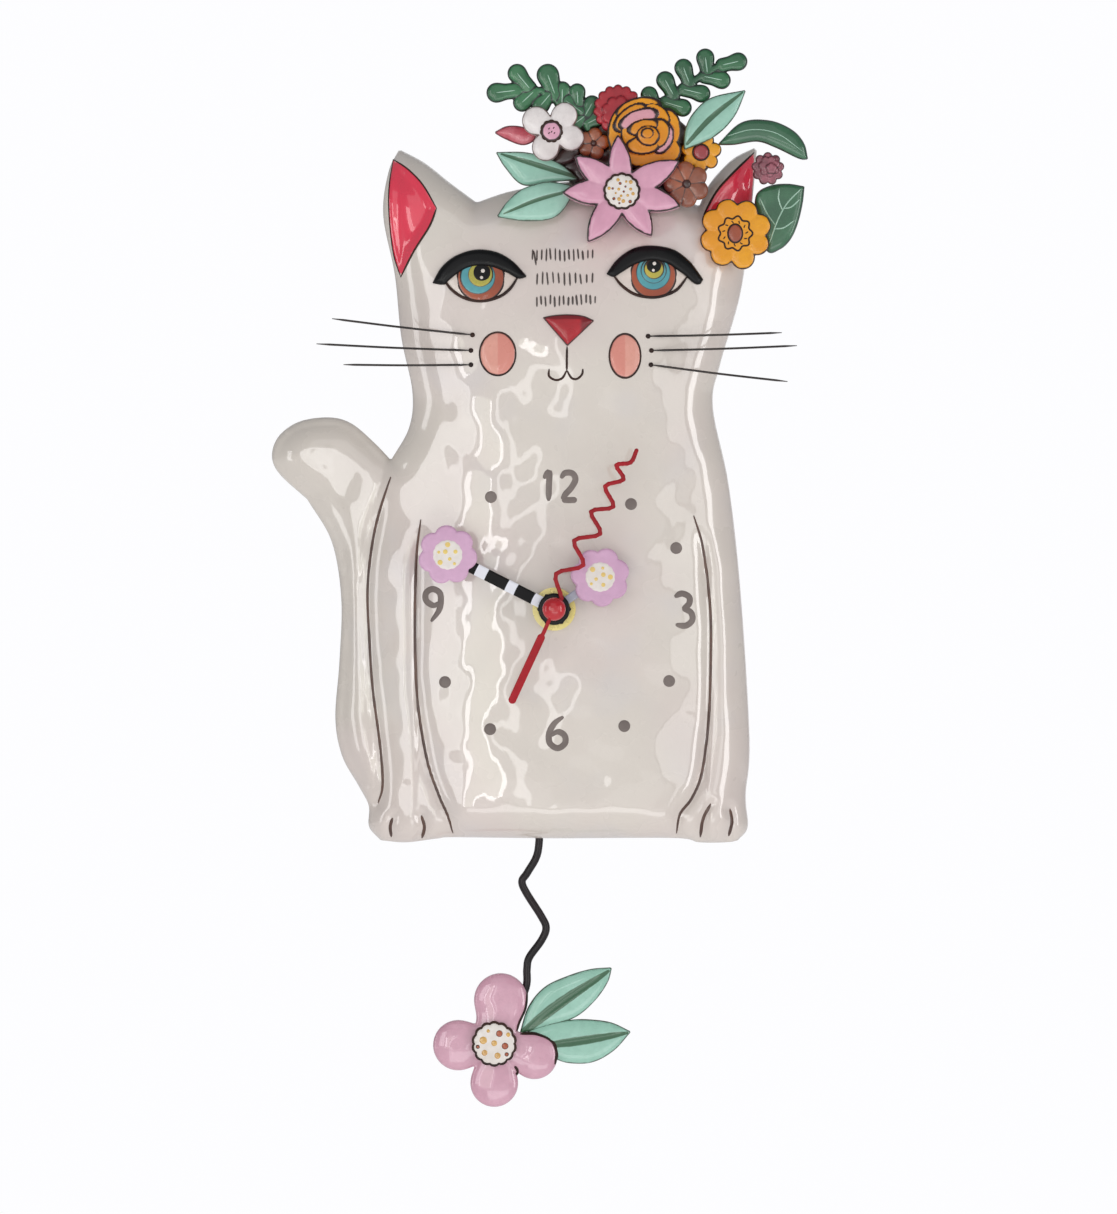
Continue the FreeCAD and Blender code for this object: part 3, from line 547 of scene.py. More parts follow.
def glaze(name, light, dark, marks=(), patch=45.0, **finish):
    """Fired glaze: two tints that pool into each other, and painted marks over them."""
    def paint(tree):
        pools = between(tree, noise(tree, patch, 3.0), 0.35, 0.65)
        colour = mix(tree, pools, srgb(*light), srgb(*dark))
        fine = between(tree, noise(tree, patch * 9, 4.0), 0.3, 0.75, 0.0, 0.35)
        deep = tuple(c * 0.93 for c in dark)
        colour = mix(tree, fine, colour, srgb(*deep))
        for label, reach, shade, blur, wobble in marks:
            colour = mark(tree, colour, label, reach, srgb(*shade), blur, wobble)
        return colour
    return finish_material(name, paint, **finish)


INK = (46, 30, 28)
EDGE_LINE = ("inset", 0.65, INK, 0.2, 0.4)

# name, slot, light and dark tints, marks (measure, reach, tint, blur, wobble), finish
GLAZES = {
    "pink": ("rose_glaze", "rose_glaze", (228, 168, 190), (216, 152, 176), [EDGE_LINE],
        dict(coat=0.55, specular=0.3)),
    "bob_pink": ("bob_rose_glaze", "rose_glaze", (222, 170, 186), (213, 158, 176), [],
        dict(coat=0.8)),
    "hand_pink": ("hand_flower_pink", "hand_pink", (219, 174, 204), (211, 164, 195), [],
        dict(roughness=0.45, coat=0.15)),
    "mint": ("mint_glaze", "mint_glaze", (164, 210, 190), (146, 196, 174),
        [("rib", 1.0, (58, 102, 70), 0.12, 0.12), ("inset", 0.4, (70, 88, 70), 0.2, 0.35)],
        dict(coat=0.6, specular=0.3)),
    "green": ("leaf_green_glaze", "leaf_green_glaze", (58, 124, 78), (34, 88, 54),
        [("inset", 0.6, (22, 40, 30), 0.3, 0.35), ("petal", 0.45, (22, 40, 30), 0.25, 0.2)],
        dict(coat=0.5, specular=0.3)),
    "plain_green": ("broad_leaf_glaze", "leaf_green_glaze", (66, 122, 84), (42, 94, 62),
        [("inset", 0.5, (26, 46, 34), 0.3, 0.35)], dict(coat=0.5)),
    "light_green": ("vein_glaze", "mint_glaze", (168, 205, 180), (150, 190, 165), [], dict()),
    "yellow": ("yellow_glaze", "yellow_glaze", (244, 170, 12), (234, 152, 8),
        [("inset", 0.5, INK, 0.18, 0.4)], dict(coat=0.35, specular=0.3)),
    "rose": ("rose_petal_glaze", "yellow_glaze", (240, 160, 14), (226, 140, 10),
        [("blush", 0.5, (222, 158, 168), 0.15, 0.1), ("petal", 0.8, INK, 0.2, 0.45)],
        dict(coat=0.2, specular=0.3)),
    "brown": ("brown_glaze", "brown_glaze", (178, 94, 50), (122, 60, 34),
        [("petal", 0.4, (44, 24, 20), 0.35, 0.4)], dict(coat=0.5)),
    "plain_brown": ("brown_backing_glaze", "brown_glaze", (84, 46, 34), (48, 28, 24), [],
        dict(coat=0.3)),
    "red": ("red_glaze", "red_glaze", (190, 40, 52), (154, 26, 38),
        [("petal", 0.35, (84, 14, 24), 0.25, 0.4)], dict(coat=0.3, specular=0.3)),
    "plain_red": ("red_centre_glaze", "red_glaze", (176, 48, 52), (140, 34, 42), [],
        dict(coat=0.5)),
    "bud": ("bud_glaze", "red_glaze", (216, 116, 126), (190, 58, 76),
        [("inset", 0.5, (110, 34, 46), 0.35, 0.3)], dict(coat=0.5, patch=160.0)),
    "maroon": ("maroon_glaze", "brown_glaze", (168, 92, 106), (112, 52, 62),
        [("petal", 0.4, (74, 34, 40), 0.35, 0.4)], dict(coat=0.4, patch=160.0)),
    "white": ("white_glaze", "white_glaze", (238, 230, 226), (220, 210, 206),
        [("inset", 0.35, (110, 84, 78), 0.25, 0.4)], dict(coat=0.5)),
    "plain_white": ("centre_glaze", "white_glaze", (240, 232, 224), (228, 218, 208), [],
        dict(roughness=0.45, coat=0.3)),
    "ink": ("painted_line", "black_enamel", (62, 38, 28), (40, 24, 20), [],
        dict(roughness=0.5, coat=0.0, specular=0.3)),
    "groove": ("groove_line", "black_enamel", (98, 64, 46), (72, 44, 32), [],
        dict(roughness=0.4, coat=0.3, patch=90.0)),
    "soft_ink": ("painted_stroke", "black_enamel", (84, 72, 66), (62, 52, 48), [],
        dict(roughness=0.4, coat=0.3)),
    "lid": ("black_lid_glaze", "black_enamel", (4, 3, 4), (2, 2, 2), [],
        dict(roughness=0.3, coat=0.0, specular=0.3)),
    # the nose: red, with painted shade (darker red along its top and towards its right end) and an
    # ink outline
    "nose": ("nose_glaze", "red_glaze", (200, 16, 34), (172, 12, 28),
        [("shade", 0.0, (128, 24, 32), 0.35, 0.2), ("inset", 0.45, INK, 0.2, 0.2)],
        dict(coat=0.45, specular=0.3)),
    # the cheeks: pink, with painted shade on the half of each cheek nearer the nose, and an ink
    # outline
    "cheek": ("cheek_glaze", "rose_glaze", (232, 164, 146), (228, 154, 136),
        [("shade", 0.0, (221, 138, 122), 0.3, 0.2), ("inset", 0.35, INK, 0.18, 0.2)],
        dict(coat=0.4)),
    "eye_white": ("eye_white_glaze", "white_glaze", (230, 216, 204), (220, 204, 192), [],
        dict(coat=0.5)),
    "iris_brown": ("iris_brown_glaze", "white_glaze", (176, 80, 34), (148, 60, 26),
        [("inset", 0.25, INK, 0.15, 0.1)], dict(coat=0.35)),
    "iris_blue": ("iris_blue_glaze", "white_glaze", (84, 168, 174), (66, 146, 156),
        [("inset", 0.3, (40, 66, 70), 0.15, 0.1)], dict(coat=0.35)),
    "iris_gold": ("iris_gold_glaze", "white_glaze", (210, 184, 48), (168, 166, 66),
        [("inset", 0.25, (84, 76, 30), 0.15, 0.1)], dict(coat=0.35)),
    "ochre": ("ochre_dots", "yellow_glaze", (222, 170, 60), (196, 140, 70), [], dict()),
    "pale_yellow": ("yellow_dots", "yellow_glaze", (240, 212, 110), (232, 192, 120), [],
        dict(roughness=0.45, coat=0.2)),
    "number": ("number_paint", "grey_enamel", (132, 120, 113), (116, 104, 98), [],
        dict(roughness=0.6, coat=0.1)),
    "second": ("second_hand_enamel", "red_enamel", (176, 14, 30), (150, 10, 24), [],
        dict(roughness=0.45, coat=0.1, specular=0.25)),
    "cap": ("cap_enamel", "red_enamel", (206, 18, 34), (184, 12, 26), [],
        dict(roughness=0.25, coat=0.6, specular=0.3)),
    "hand_black": ("hand_enamel", "black_enamel", (14, 12, 13), (8, 7, 8),
        [("stripe", 0.0, (236, 236, 242), 0.04, 0.0)],
        dict(roughness=0.45, coat=0.0, specular=0.2)),
    "hand_grey": ("hour_bar_enamel", "grey_enamel", (184, 184, 196), (166, 166, 180), [],
        dict(roughness=0.4, coat=0.4)),
    "rod": ("rod_enamel", "black_wire", (32, 20, 22), (18, 11, 13), [],
        dict(roughness=0.4, coat=0.1, specular=0.3, patch=120.0)),
    "wire": ("whisker_wire", "steel", (66, 58, 54), (44, 38, 36), [],
        dict(roughness=0.35, coat=0.2, metallic=0.6)),
    "gold": ("washer_brass", "brass", (250, 234, 158), (238, 214, 118), [],
        dict(roughness=0.3, coat=0.4, metallic=0.35, bump=0.15, bump_scale=900.0)),
    "dark_metal": ("nut_metal", "brass", (26, 22, 22), (16, 14, 15), [],
        dict(roughness=0.45, coat=0.0, metallic=0.3)),
}
PAINTS = {}


def pearl(tree):
    """The body's glaze: three near tints in slow clouds, and red in the ears."""
    warm = between(tree, noise(tree, 14.0, 2.0), 0.38, 0.62)
    colour = mix(tree, warm, srgb(222, 212, 200), srgb(221, 207, 198))
    cool = between(tree, noise(tree, 26.0, 2.0, 0.6), 0.5, 0.75, 0.0, 0.6)
    colour = mix(tree, cool, colour, srgb(214, 207, 204))
    return mark(tree, colour, "paint", 0.0, srgb(240, 46, 76), 0.25, 0.5, 300.0)


def make_materials():
    PAINTS["pearl"] = finish_material("pearl_glaze", pearl, roughness=0.28, bump=0.05,
                                      bump_scale=90.0, bump_height=0.0006, coat_roughness=0.03)
    for key, (name, _, light, dark, marks, finish) in GLAZES.items():
        PAINTS[key] = glaze(name, light, dark, marks, **finish)


def give(piece, paint, node=None, body="clock_body"):
    """Gives a piece its paint and the body it moves with, and hides the CAD node that it stands for.
    """
    piece.data.materials.append(PAINTS[paint])
    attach(piece, body)
    if node:
        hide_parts(node)
    return piece


def spun(name, light, dark, metallic, roughness, scale, stretch, finish):
    """A machined or moulded surface: fine directional grain between two tints."""
    def paint(tree):
        place = add(tree, "ShaderNodeTexCoord").outputs["Object"]
        drawn = add(tree, "ShaderNodeMapping", {"Vector": place, "Scale": stretch}).outputs[0]
        grain = add(tree, "ShaderNodeTexNoise", {"Vector": drawn, "Scale": scale, "Detail": 5.0,
                                                 "Roughness": 0.6}).outputs["Fac"]
        return mix(tree, between(tree, grain, 0.3, 0.7), srgb(*light), srgb(*dark))
    return finish_material(name, paint, roughness=roughness, metallic=metallic, **finish)


# finishes of the parts that show as in the CAD, by slot: name, light and dark tints, metallic,
# roughness, scale and stretch of the grain, finish
MOVEMENT_FINISHES = {
    "case_plastic": ("case_black_plastic", (34, 34, 36), (22, 22, 24), 0.0, 0.5, 900.0, (1, 1, 1),
                     dict(coat=0.1, bump=0.35, bump_scale=2600.0)),
    "gear_plastic": ("gear_white_plastic", (226, 222, 208), (208, 203, 188), 0.0, 0.42, 700.0,
                     (1, 1, 1), dict(coat=0.1, bump=0.15, bump_scale=1800.0)),
    "brass": ("turned_brass", (206, 172, 92), (176, 140, 66), 0.95, 0.28, 500.0, (1, 9, 1),
              dict(coat=0.0, bump=0.15, bump_scale=1500.0)),
    "steel": ("brushed_steel", (186, 188, 192), (150, 152, 156), 0.95, 0.34, 420.0, (1, 1, 12),
              dict(coat=0.0, bump=0.2, bump_scale=1500.0)),
    "copper_wire": ("enamelled_copper", (186, 98, 52), (132, 60, 30), 0.8, 0.32, 260.0,
                    (1, 14, 14), dict(coat=0.6, bump=0.4, bump_scale=1200.0)),
    "board": ("circuit_board_green", (38, 96, 62), (26, 72, 46), 0.0, 0.45, 900.0, (1, 1, 1),
              dict(coat=0.4, bump=0.2, bump_scale=1600.0)),
    "battery_sleeve": ("battery_sleeve", (60, 64, 72), (44, 47, 54), 0.2, 0.35, 600.0,
                       (12, 1, 1), dict(coat=0.5, bump=0.1, bump_scale=1800.0)),
}


# ---------------------------------------------------------------- the cast cat

HEAD_LEFT = [(-60, 178), (-64, 169), (-66, 152), (-61.5, 129), (-59, 105), (-54.7, 84), (-56, 70),
             (-63, 57.5)]
TAIL_TIP = [(-63, 57.5), (-69.8, 64.6), (-78.4, 71.8), (-87.1, 74.2), (-98.7, 72.6), (-106.6, 67),
            (-109.3, 59.5), (-106.4, 52.4), (-95.5, 42.4)]
TAIL_SIDE = [(-95.5, 42.4), (-86, 26), (-82.3, 4), (-83, -20), (-84.6, -42), (-82, -56.7),
             (-75.6, -68.2), (-71.6, -76), (-71.5, -84), (-67, -89.3)]
PAWS = [(-67, -89.3), (-57, -90), (-45, -88.5), (-38, -88), (0, -88.4), (46, -88.3), (56, -90),
        (67, -90), (71, -89.3)]
BODY_RIGHT = [(71, -89.3), (74.8, -84), (74, -72), (75.5, -50), (72, 7), (67.4, 48), (61.3, 78),
              (64, 94), (72, 122), (76, 152), (78.6, 179)]
RIGHT_EAR_INSIDE = [(78.6, 179), (70.5, 175), (65, 170.2), (59.6, 163.5), (56, 155.5)]
HEAD_TOP = [(56, 155.5), (40, 163), (15, 166), (-14, 162), (-30, 157)]
LEFT_EAR_INSIDE = [(-30, 157), (-40, 164.5), (-50, 172.5), (-60, 178)]
SHELL_RUNS = [HEAD_LEFT, TAIL_TIP, TAIL_SIDE, PAWS, BODY_RIGHT, RIGHT_EAR_INSIDE, HEAD_TOP,
              LEFT_EAR_INSIDE]

# how far the front stands off the wall, across the clock and up it
FRONT_ACROSS = [(-125, 12), (-100, 17), (-80, 21.5), (-55, 30), (-28, 36.5), (0, 38), (28, 36.8),
                (55, 31.5), (80, 23), (95, 16)]
FRONT_UP = [(-95, 27), (-86, 34), (-70, 37.5), (-30, 38), (40, 38), (90, 37.6), (120, 35.6),
            (145, 31), (160, 27.5), (175, 20), (185, 14)]

# grooves cut between tail, legs and toes, and painted brown
TAIL_GROOVE = [(-63, 51), (-67, 39), (-70, 26.5), (-72, 8), (-71.3, -12), (-70, -31), (-67, -54),
               (-66.2, -68), (-68, -75)]
LEFT_LEG_GROOVE = [(-51.4, 34.5), (-53.2, 18), (-53.5, -14), (-52.6, -36), (-49, -58),
                   (-44.5, -71.5), (-41, -79.5), (-39, -86.5)]
RIGHT_LEG_GROOVE = [(53.8, 36), (57.5, 23), (60.2, 0), (60.4, -20), (59.6, -42), (57, -63),
                    (53, -73), (48.5, -79), (47.2, -86.5)]
TOES = [[(-62.3, -80.5), (-63.2, -84), (-62.8, -88)], [(-51.2, -79.5), (-50, -84), (-51, -88.4)],
        [(60.4, -75), (57.4, -81), (56.4, -88)], [(67.8, -77), (68.6, -82), (67.4, -87.6)]]
BODY_CAVITY = [(-50, 52), (-60, 20), (-62, -20), (-60, -60), (-50, -78), (0, -81), (48, -78),
               (62, -60), (64, -20), (60, 20), (52, 52), (0, 60)]
HEAD_CAVITY = [(-48, 66), (-46, 90), (-48, 108), (-36, 119), (0, 121), (38, 119), (52, 108),
               (50, 90), (50, 66), (0, 56)]
LEFT_EAR = [[(-59.2, 128), (-62, 137), (-63.6, 150), (-63.8, 162), (-62.3, 174)],
            [(-62.3, 174), (-56, 169.5), (-50.5, 163.5), (-45.3, 154.5)],
            [(-45.3, 154.5), (-48, 147.5), (-54, 138), (-59.2, 128)]]
RIGHT_EAR = [[(57.6, 152), (62.6, 161), (68.3, 167.6), (77.4, 176.6)],
             [(77.4, 176.6), (77, 165), (76, 150)], [(76, 150), (68, 148.5), (57.6, 152)]]


def at_places(profile, values):
    line = curve(profile)
    return np.interp(values, line[:, 0], line[:, 1])


SHELL = outline(joined(SHELL_RUNS))
TAIL = outline(np.vstack([curve(TAIL_TIP), curve(TAIL_SIDE[:7]), curve(TAIL_GROOVE)[::-1]]))
LEFT_EAR_HOLLOW = outline(joined(LEFT_EAR))
RIGHT_EAR_HOLLOW = outline(joined(RIGHT_EAR))
GROOVES = [curve(line) for line in (TAIL_GROOVE, LEFT_LEG_GROOVE, RIGHT_LEG_GROOVE)]
TOE_LINES = [curve(line) for line in TOES]


def casting(places):
    """Depth of the front of the shell before its edge is rounded."""
    right, up = places[:, 0], places[:, 1]
    level = lesser(at_places(FRONT_ACROSS, right), at_places(FRONT_UP, up), 3.0)
    # the tail is set back by its groove and domed by itself
    tail = -TAIL.distance(places)
    level -= 2.6 * ease(tail, 0.0, 3.0) - 3.0 * dome(np.maximum(tail, 0), 13.0) * ease(tail, 0, 2)
    # the legs stand proud of the belly
    legs = [ease(up, 34, 14) * ease(right, -52.5, -54.5), ease(up, 34, 14) * ease(right, 58.5, 60.5)]
    level += 1.0 * sum(legs)
    # grooves and toes: a wide hollow with a narrow one in it
    for line in GROOVES:
        away, share, _ = measure(places, line)
        fade = ease(share, 0.0, 0.2)
        level -= fade * (1.7 * np.exp(-(away / 3.0) ** 2) + 0.7 * np.exp(-(away / 1.1) ** 2))
    for line in TOE_LINES:
        away = measure(places, line)[0]
        level -= 1.4 * np.exp(-(away / 2.2) ** 2) + 0.5 * np.exp(-(away / 0.9) ** 2)
    for hollow in (LEFT_EAR_HOLLOW, RIGHT_EAR_HOLLOW):
        level -= 2.2 * ease(-hollow.distance(places), 0.0, 4.0)
    # the muzzle swells, and the sides are drawn in at the neck
    level += 1.2 * np.exp(-((right - 5) ** 2 + (up - 100) ** 2) / 18 ** 2)
    level -= 1.0 * np.exp(-((up - 76) / 13) ** 2) * ease(np.abs(right), 22, 55)
    # the unevenness of handwork, and a flat place under the hands
    dial = np.hypot(right, up)
    level += (0.30 * waves(places, 11, 46, 20) + 0.08 * waves(places, 5, 22, 9)) * ease(dial, 9, 22)
    return np.minimum(level, 38.0 + 1.2 * ease(dial, 12, 30))


EDGE_RADIUS = 12.0
EDGE_DROP = 0.86  # of what a full quarter round would drop


def shell_front(places, inset=None):
    inset = np.maximum(-SHELL.distance(places), 0) if inset is None else inset
    return casting(places) - EDGE_DROP * rounding(inset, EDGE_RADIUS, 0.1)


def block(centre, half_wide, half_high):
    """An upright rectangle as a shape."""
    centre, half = np.array(centre, float), np.array([half_wide, half_high], float)
    return Shape(lambda places: np.max(np.abs(places - centre) - half, axis=1),
                 centre - half, centre + half)


# depth and shape of each hollow, and where its wall starts outside that edge and ends inside it
HOLLOWS = [
    (24, outline(curve(BODY_CAVITY, True)), -0.4, 1.0),
    (21, outline(curve(HEAD_CAVITY, True)), -0.4, 1.0),
    (33, block((0, -15), 31, 47), -0.4, 0.9),
    (24, block((-6.5, -83.5), 15.5, 9.5), -0.4, 0.9),
    (2, block((0, 136.5), 24, 12.5), -0.2, 0.2),
    (12, block((0, 137), 9, 10), -0.2, 0.8),
]


def shell_back(places):
    return np.max([depth * ease(-shape.distance(places), start, end)
                   for depth, shape, start, end in HOLLOWS], axis=0)


def ear_paint(places, inset):
    """Negative where the ears are painted red."""
    return np.minimum(LEFT_EAR_HOLLOW.distance(places), RIGHT_EAR_HOLLOW.distance(places)) + 0.1


THINNEST_WALL = 1.6


def cat_shell():
    def back(places, inset):
        return np.minimum(shell_back(places), shell_front(places, inset) - THINNEST_WALL)
    shell = relief("cat_shell", SHELL, 1.0, shell_front, back, {"paint": ear_paint}, side_steps=6)
    give(shell, "pearl", "body_shell")


def painted_lines():
    """The brown lines in the grooves and round the ears."""
    grooves = strokes("groove_lines", [(line, 1.15) for line in
                                       (TAIL_GROOVE, LEFT_LEG_GROOVE, RIGHT_LEG_GROOVE)]
                      + [(line, 1.3) for line in TOES], shell_front, 1.1, rise=0.4)
    give(grooves, "groove")
    outer, upper, lower = LEFT_EAR
    ears = [(lower, 0.8), (upper, 0.6), (outer, 0.45), (RIGHT_EAR[0], 0.9)]
    give(strokes("ear_lines", ears, shell_front, 0.7), "ink")


# ---------------------------------------------------------------- the face

def on_shell(lift, reach, height):
    """A front that follows the shell, raised by a dome of the given height."""
    def front(places, inset):
        return shell_front(places) + lift + height * dome(inset, reach)
    return front


SINK = 1.2  # how deep the pieces of the face reach into the shell


def under_shell(places, inset):
    return shell_front(places) - SINK


LEFT_LID = [[(-47, 125.4), (-43.5, 131.5), (-38, 136), (-30.4, 138.4), (-22.5, 137.6),
             (-16, 134), (-10.3, 127.9)],
            [(-10.3, 127.9), (-13.8, 127.2), (-18.5, 129.6), (-24.8, 131.9), (-31.2, 131.9),
             (-36, 130), (-40.4, 126.6), (-42.4, 124.9), (-47, 125.4)]]
RIGHT_LID = [[(20, 128.9), (24.2, 134.6), (30.5, 138.9), (37.5, 140), (45.7, 138.6), (51.6, 134.6),
              (54.8, 130.8), (57.5, 126.9)],
             [(57.5, 126.9), (56, 125), (53.6, 125.6), (50.3, 128.5), (47, 130.8), (43.5, 133),
              (37.5, 134.2), (31.3, 132.7), (26.4, 129.8), (23, 127.9), (20, 128.9)]]
LEFT_EYE = [[(-42.5, 127), (-36, 132.4), (-29, 134), (-21, 133.4), (-13.8, 128)],
            [(-13.8, 128), (-17, 123.2), (-21.5, 120), (-28, 118.5), (-34.5, 119.7), (-39.5, 123),
             (-42.5, 127)]]
RIGHT_EYE = [[(22.6, 128.8), (30, 134), (37.5, 136), (45, 134), (51.5, 128.2)],
             [(51.5, 128.2), (47.3, 123), (42, 120.6), (37, 120), (31, 121.2), (26, 124.6),
              (22.6, 128.8)]]


def within(shape, limit):
    """The part of one shape that lies inside another."""
    return Shape(lambda places: np.maximum(shape.distance(places), limit.distance(places)),
                 np.maximum(shape.low, limit.low), np.minimum(shape.high, limit.high))


def eye(side, lid_runs, eye_runs, rings, shines):
    """Enamel eye: white, three iris rings and pupil, each a little prouder, under a thick lid."""
    opening = outline(joined(eye_runs))
    white = relief(f"eye_white_{side}", opening, 0.5, on_shell(0.0, 6.0, 0.5), under_shell,
                   side_steps=2)
    give(white, "eye_white")
    for index, (label, centre, radius) in enumerate(rings):
        lift = 0.4 + 0.16 * index
        edge = relief(f"iris_{index + 1}_edge_{side}", within(disc(centre, radius + 0.5), opening),
                      0.35, on_shell(lift, 3.0, 0.15), under_shell)
        give(edge, "ink")
        ring = relief(f"iris_{index + 1}_{side}", within(disc(centre, radius), opening), 0.35,
                      on_shell(lift + 0.1, 3.0, 0.15), under_shell)
        give(ring, label)
    lid = relief(f"eyelid_{side}", outline(joined(lid_runs)), 0.45, on_shell(0.7, 2.6, 1.3),
                 under_shell, side_steps=2)
    give(lid, "lid")
    lower = strokes(f"eye_line_{side}", [(eye_runs[1], 1.15)], lambda p: shell_front(p) + 0.5, 1.1,
                    rise=0.3, sink=1.2)
    give(lower, "ink")
    for index, (centre, radius) in enumerate(shines):
        shine = relief(f"eye_shine_{side}_{index + 1}", disc(centre, radius), 0.2,
                       on_shell(1.45, 0.8, 0.15), under_shell)
        give(shine, "plain_white")


def eyes():
    eye("left", LEFT_LID, LEFT_EYE,
        [("iris_brown", (-28.2, 127.5), 8.9), ("iris_blue", (-29.3, 127.9), 6.7),
         ("iris_gold", (-28.4, 128.7), 4.7), ("lid", (-27.9, 129.4), 3.1)],
        [((-27.4, 130.2), 0.75), ((-27.9, 127.6), 0.6)])
    eye("right", RIGHT_LID, RIGHT_EYE,
        [("iris_brown", (38.2, 128.4), 8.6), ("iris_blue", (38.2, 129.4), 6.6),
         ("iris_blue", (38.3, 130.2), 4.9), ("iris_gold", (38.4, 130.8), 3.7),
         ("lid", (38.4, 131.9), 2.5)],
        [((38.6, 133.0), 0.7), ((38.2, 130.4), 0.55)])


def nose_and_mouth():
    nose = outline(joined([[(-4.5, 112.2), (0, 113.1), (5.5, 113.4), (11, 112.9), (15.6, 111)],
                           [(15.6, 111), (11.2, 106.8), (5.1, 101)],
                           [(5.1, 101), (0, 106.9), (-4.5, 112.2)]]))

    # painted shade: negative, and so painted darker red, along the top of the nose and towards its
    # right end
    def shade(places, inset):
        return 2.0 - np.maximum(places[:, 1] - 109.5, (places[:, 0] - 6.5) * 0.4 + 0.5)
    piece = relief("nose", nose, 0.4, on_shell(0.3, 4.5, 1.5), under_shell, {"shade": shade},
                   side_steps=2)
    give(piece, "nose")
    mouth = strokes("mouth", [([(5, 101), (4.9, 96), (4.9, 91.6)], 0.9),
                              ([(4.9, 91.9), (3.2, 88.9), (0.6, 88.1), (-1.9, 89.6), (-1.9, 92.4)],
                               0.9),
                              ([(4.9, 91.9), (6.6, 89), (8.7, 88.5), (10.7, 90.2), (11.1, 92.4)],
                               0.9)], shell_front, 0.9)
    give(mouth, "ink")


def cheeks():
    for side, centre, wide, high, outward in (("left", (-21.7, 98.2), 6.9, 8.3, 1.0),
                                              ("right", (27.3, 97.4), 6.0, 8.5, -1.0)):
        # painted shade: negative, and so painted darker, on the half of the cheek nearer the nose
        def shade(places, inset, middle=centre[0], outward=outward):
            return (middle - places[:, 0]) * outward
        shape = ellipse(centre, wide, high)
        piece = relief(f"cheek_{side}", shape, 0.45, on_shell(0.1, 3.5, 0.7), under_shell,
                       {"shade": shade}, side_steps=2)
        give(piece, "cheek")
        rim = [(centre[0] + wide * math.cos(a), centre[1] + high * math.sin(a))
               for a in np.linspace(0, 2 * math.pi, 25)]
        line = strokes(f"cheek_line_{side}", [(rim, 0.75)], shell_front, 0.7, rise=0.35,
                       taper=False)
        give(line, "ink")


def forehead():
    """Three rows of short brush strokes between the eyes."""
    chance = np.random.default_rng(4)
    lines = []
    for left, right, low, high, count in ((-8.4, 14.8, 134, 138.8, 14), (-6.6, 14.7, 125, 129.7, 11),
                                          (-6.6, 15.8, 116.8, 120.9, 14)):
        for place in np.linspace(left, right, count):
            bottom = low + chance.uniform(-0.7, 0.5) + (0.6 if place > 8 else 0)
            top = high + chance.uniform(-0.9, 0.3)
            slant = chance.uniform(-0.5, 0.2)
            lines.append(([(place + slant, top), (place, bottom)], chance.uniform(0.6, 0.85)))
    lines.append(([(-7.8, 138), (-6.9, 132.3)], 0.75))
    give(strokes("forehead_strokes", lines, shell_front, 0.7), "soft_ink")


WHISKER_TIP_DEPTH = 37.9


def whiskers():
    sides = {
        "left": [((-31.4, 105.5), (-85.4, 111.7)), ((-32, 99.5), (-91.4, 102)),
                 ((-32, 94), (-81, 94))],
        "right": [((36.2, 105), (87.6, 106.3)), ((37.5, 99.5), (93.4, 101.3)),
                  ((37.3, 94), (89.8, 87.5))],
    }
    for side, pairs in sides.items():
        lines = []
        for start, tip in pairs:
            root = float(shell_front(np.array([start]))[0]) + 0.3
            middle = [start[0] * 0.5 + tip[0] * 0.5, (root + WHISKER_TIP_DEPTH) / 2 + 0.7,
                      start[1] * 0.5 + tip[1] * 0.5 - 0.25]
            lines.append(np.array([(start[0], root, start[1]), middle,
                                   (tip[0], WHISKER_TIP_DEPTH, tip[1])]))
        piece = wire(f"whisker_wires_{side}", lines, 0.42)
        give(piece, "wire", f"whiskers_{side}")
        for index, (place, _) in enumerate(pairs):
            bead = relief(f"whisker_root_{side}_{index + 1}", disc(place, 0.95), 0.3,
                          on_shell(0.1, 0.95, 0.7), under_shell)
            give(bead, "ink")


# ---------------------------------------------------------------- the dial

NUMBERS = {
    "12": [[(-4.0, 50.2), (-1.9, 52.6), (-2.0, 47), (-2.1, 41.6)],
           [(2.6, 50.3), (4.2, 52.3), (7, 52.2), (8.2, 49.9), (6.7, 46.8), (4.4, 44.2), (3.0, 42.2)],
           [(3.0, 42.1), (5.8, 41.9), (8.8, 42.0)]],
    "3": [[(46.4, 4.7), (49.2, 6), (52, 4.6), (51.9, 1.9), (49.4, 0.1)],
          [(49.4, 0.1), (52.6, -1.2), (53.2, -4.3), (50.6, -6.4), (46.8, -6)]],
    "6": [[(3.6, -41.4), (0.2, -43.9), (-1.9, -47.8), (-1.6, -51.6), (1.4, -53.5), (4.2, -51.6),
           (4.0, -48.6), (1.4, -47.2), (-1.3, -48.8)]],
    "9": [[(-44.1, 2.6), (-46.4, 1.4), (-49.2, 3.2), (-49.3, 6.2), (-46.8, 7.7), (-44.1, 6.3),
           (-43.6, 3.2), (-44.4, -0.6), (-47.4, -4.8)]],
}
DOTS = [(-24.3, 43.1), (29.6, 40.4), (47, 23.5), (44.3, -27.7), (27, -45), (-24.6, -46.2),
        (-42, -28.1), (-42, 24)]


def dial():
    for label, lines in NUMBERS.items():
        piece = strokes(f"number_{label}", [(line, 2.45) for line in lines], shell_front, 2.4,
                        rise=0.16, sink=0.5)
        give(piece, "number")
    for index, place in enumerate(DOTS):
        dot = relief(f"hour_dot_{index + 1}", disc(place, 2.3), 0.4, on_shell(0.02, 2.0, 0.3),
                     under_shell)
        give(dot, "number")


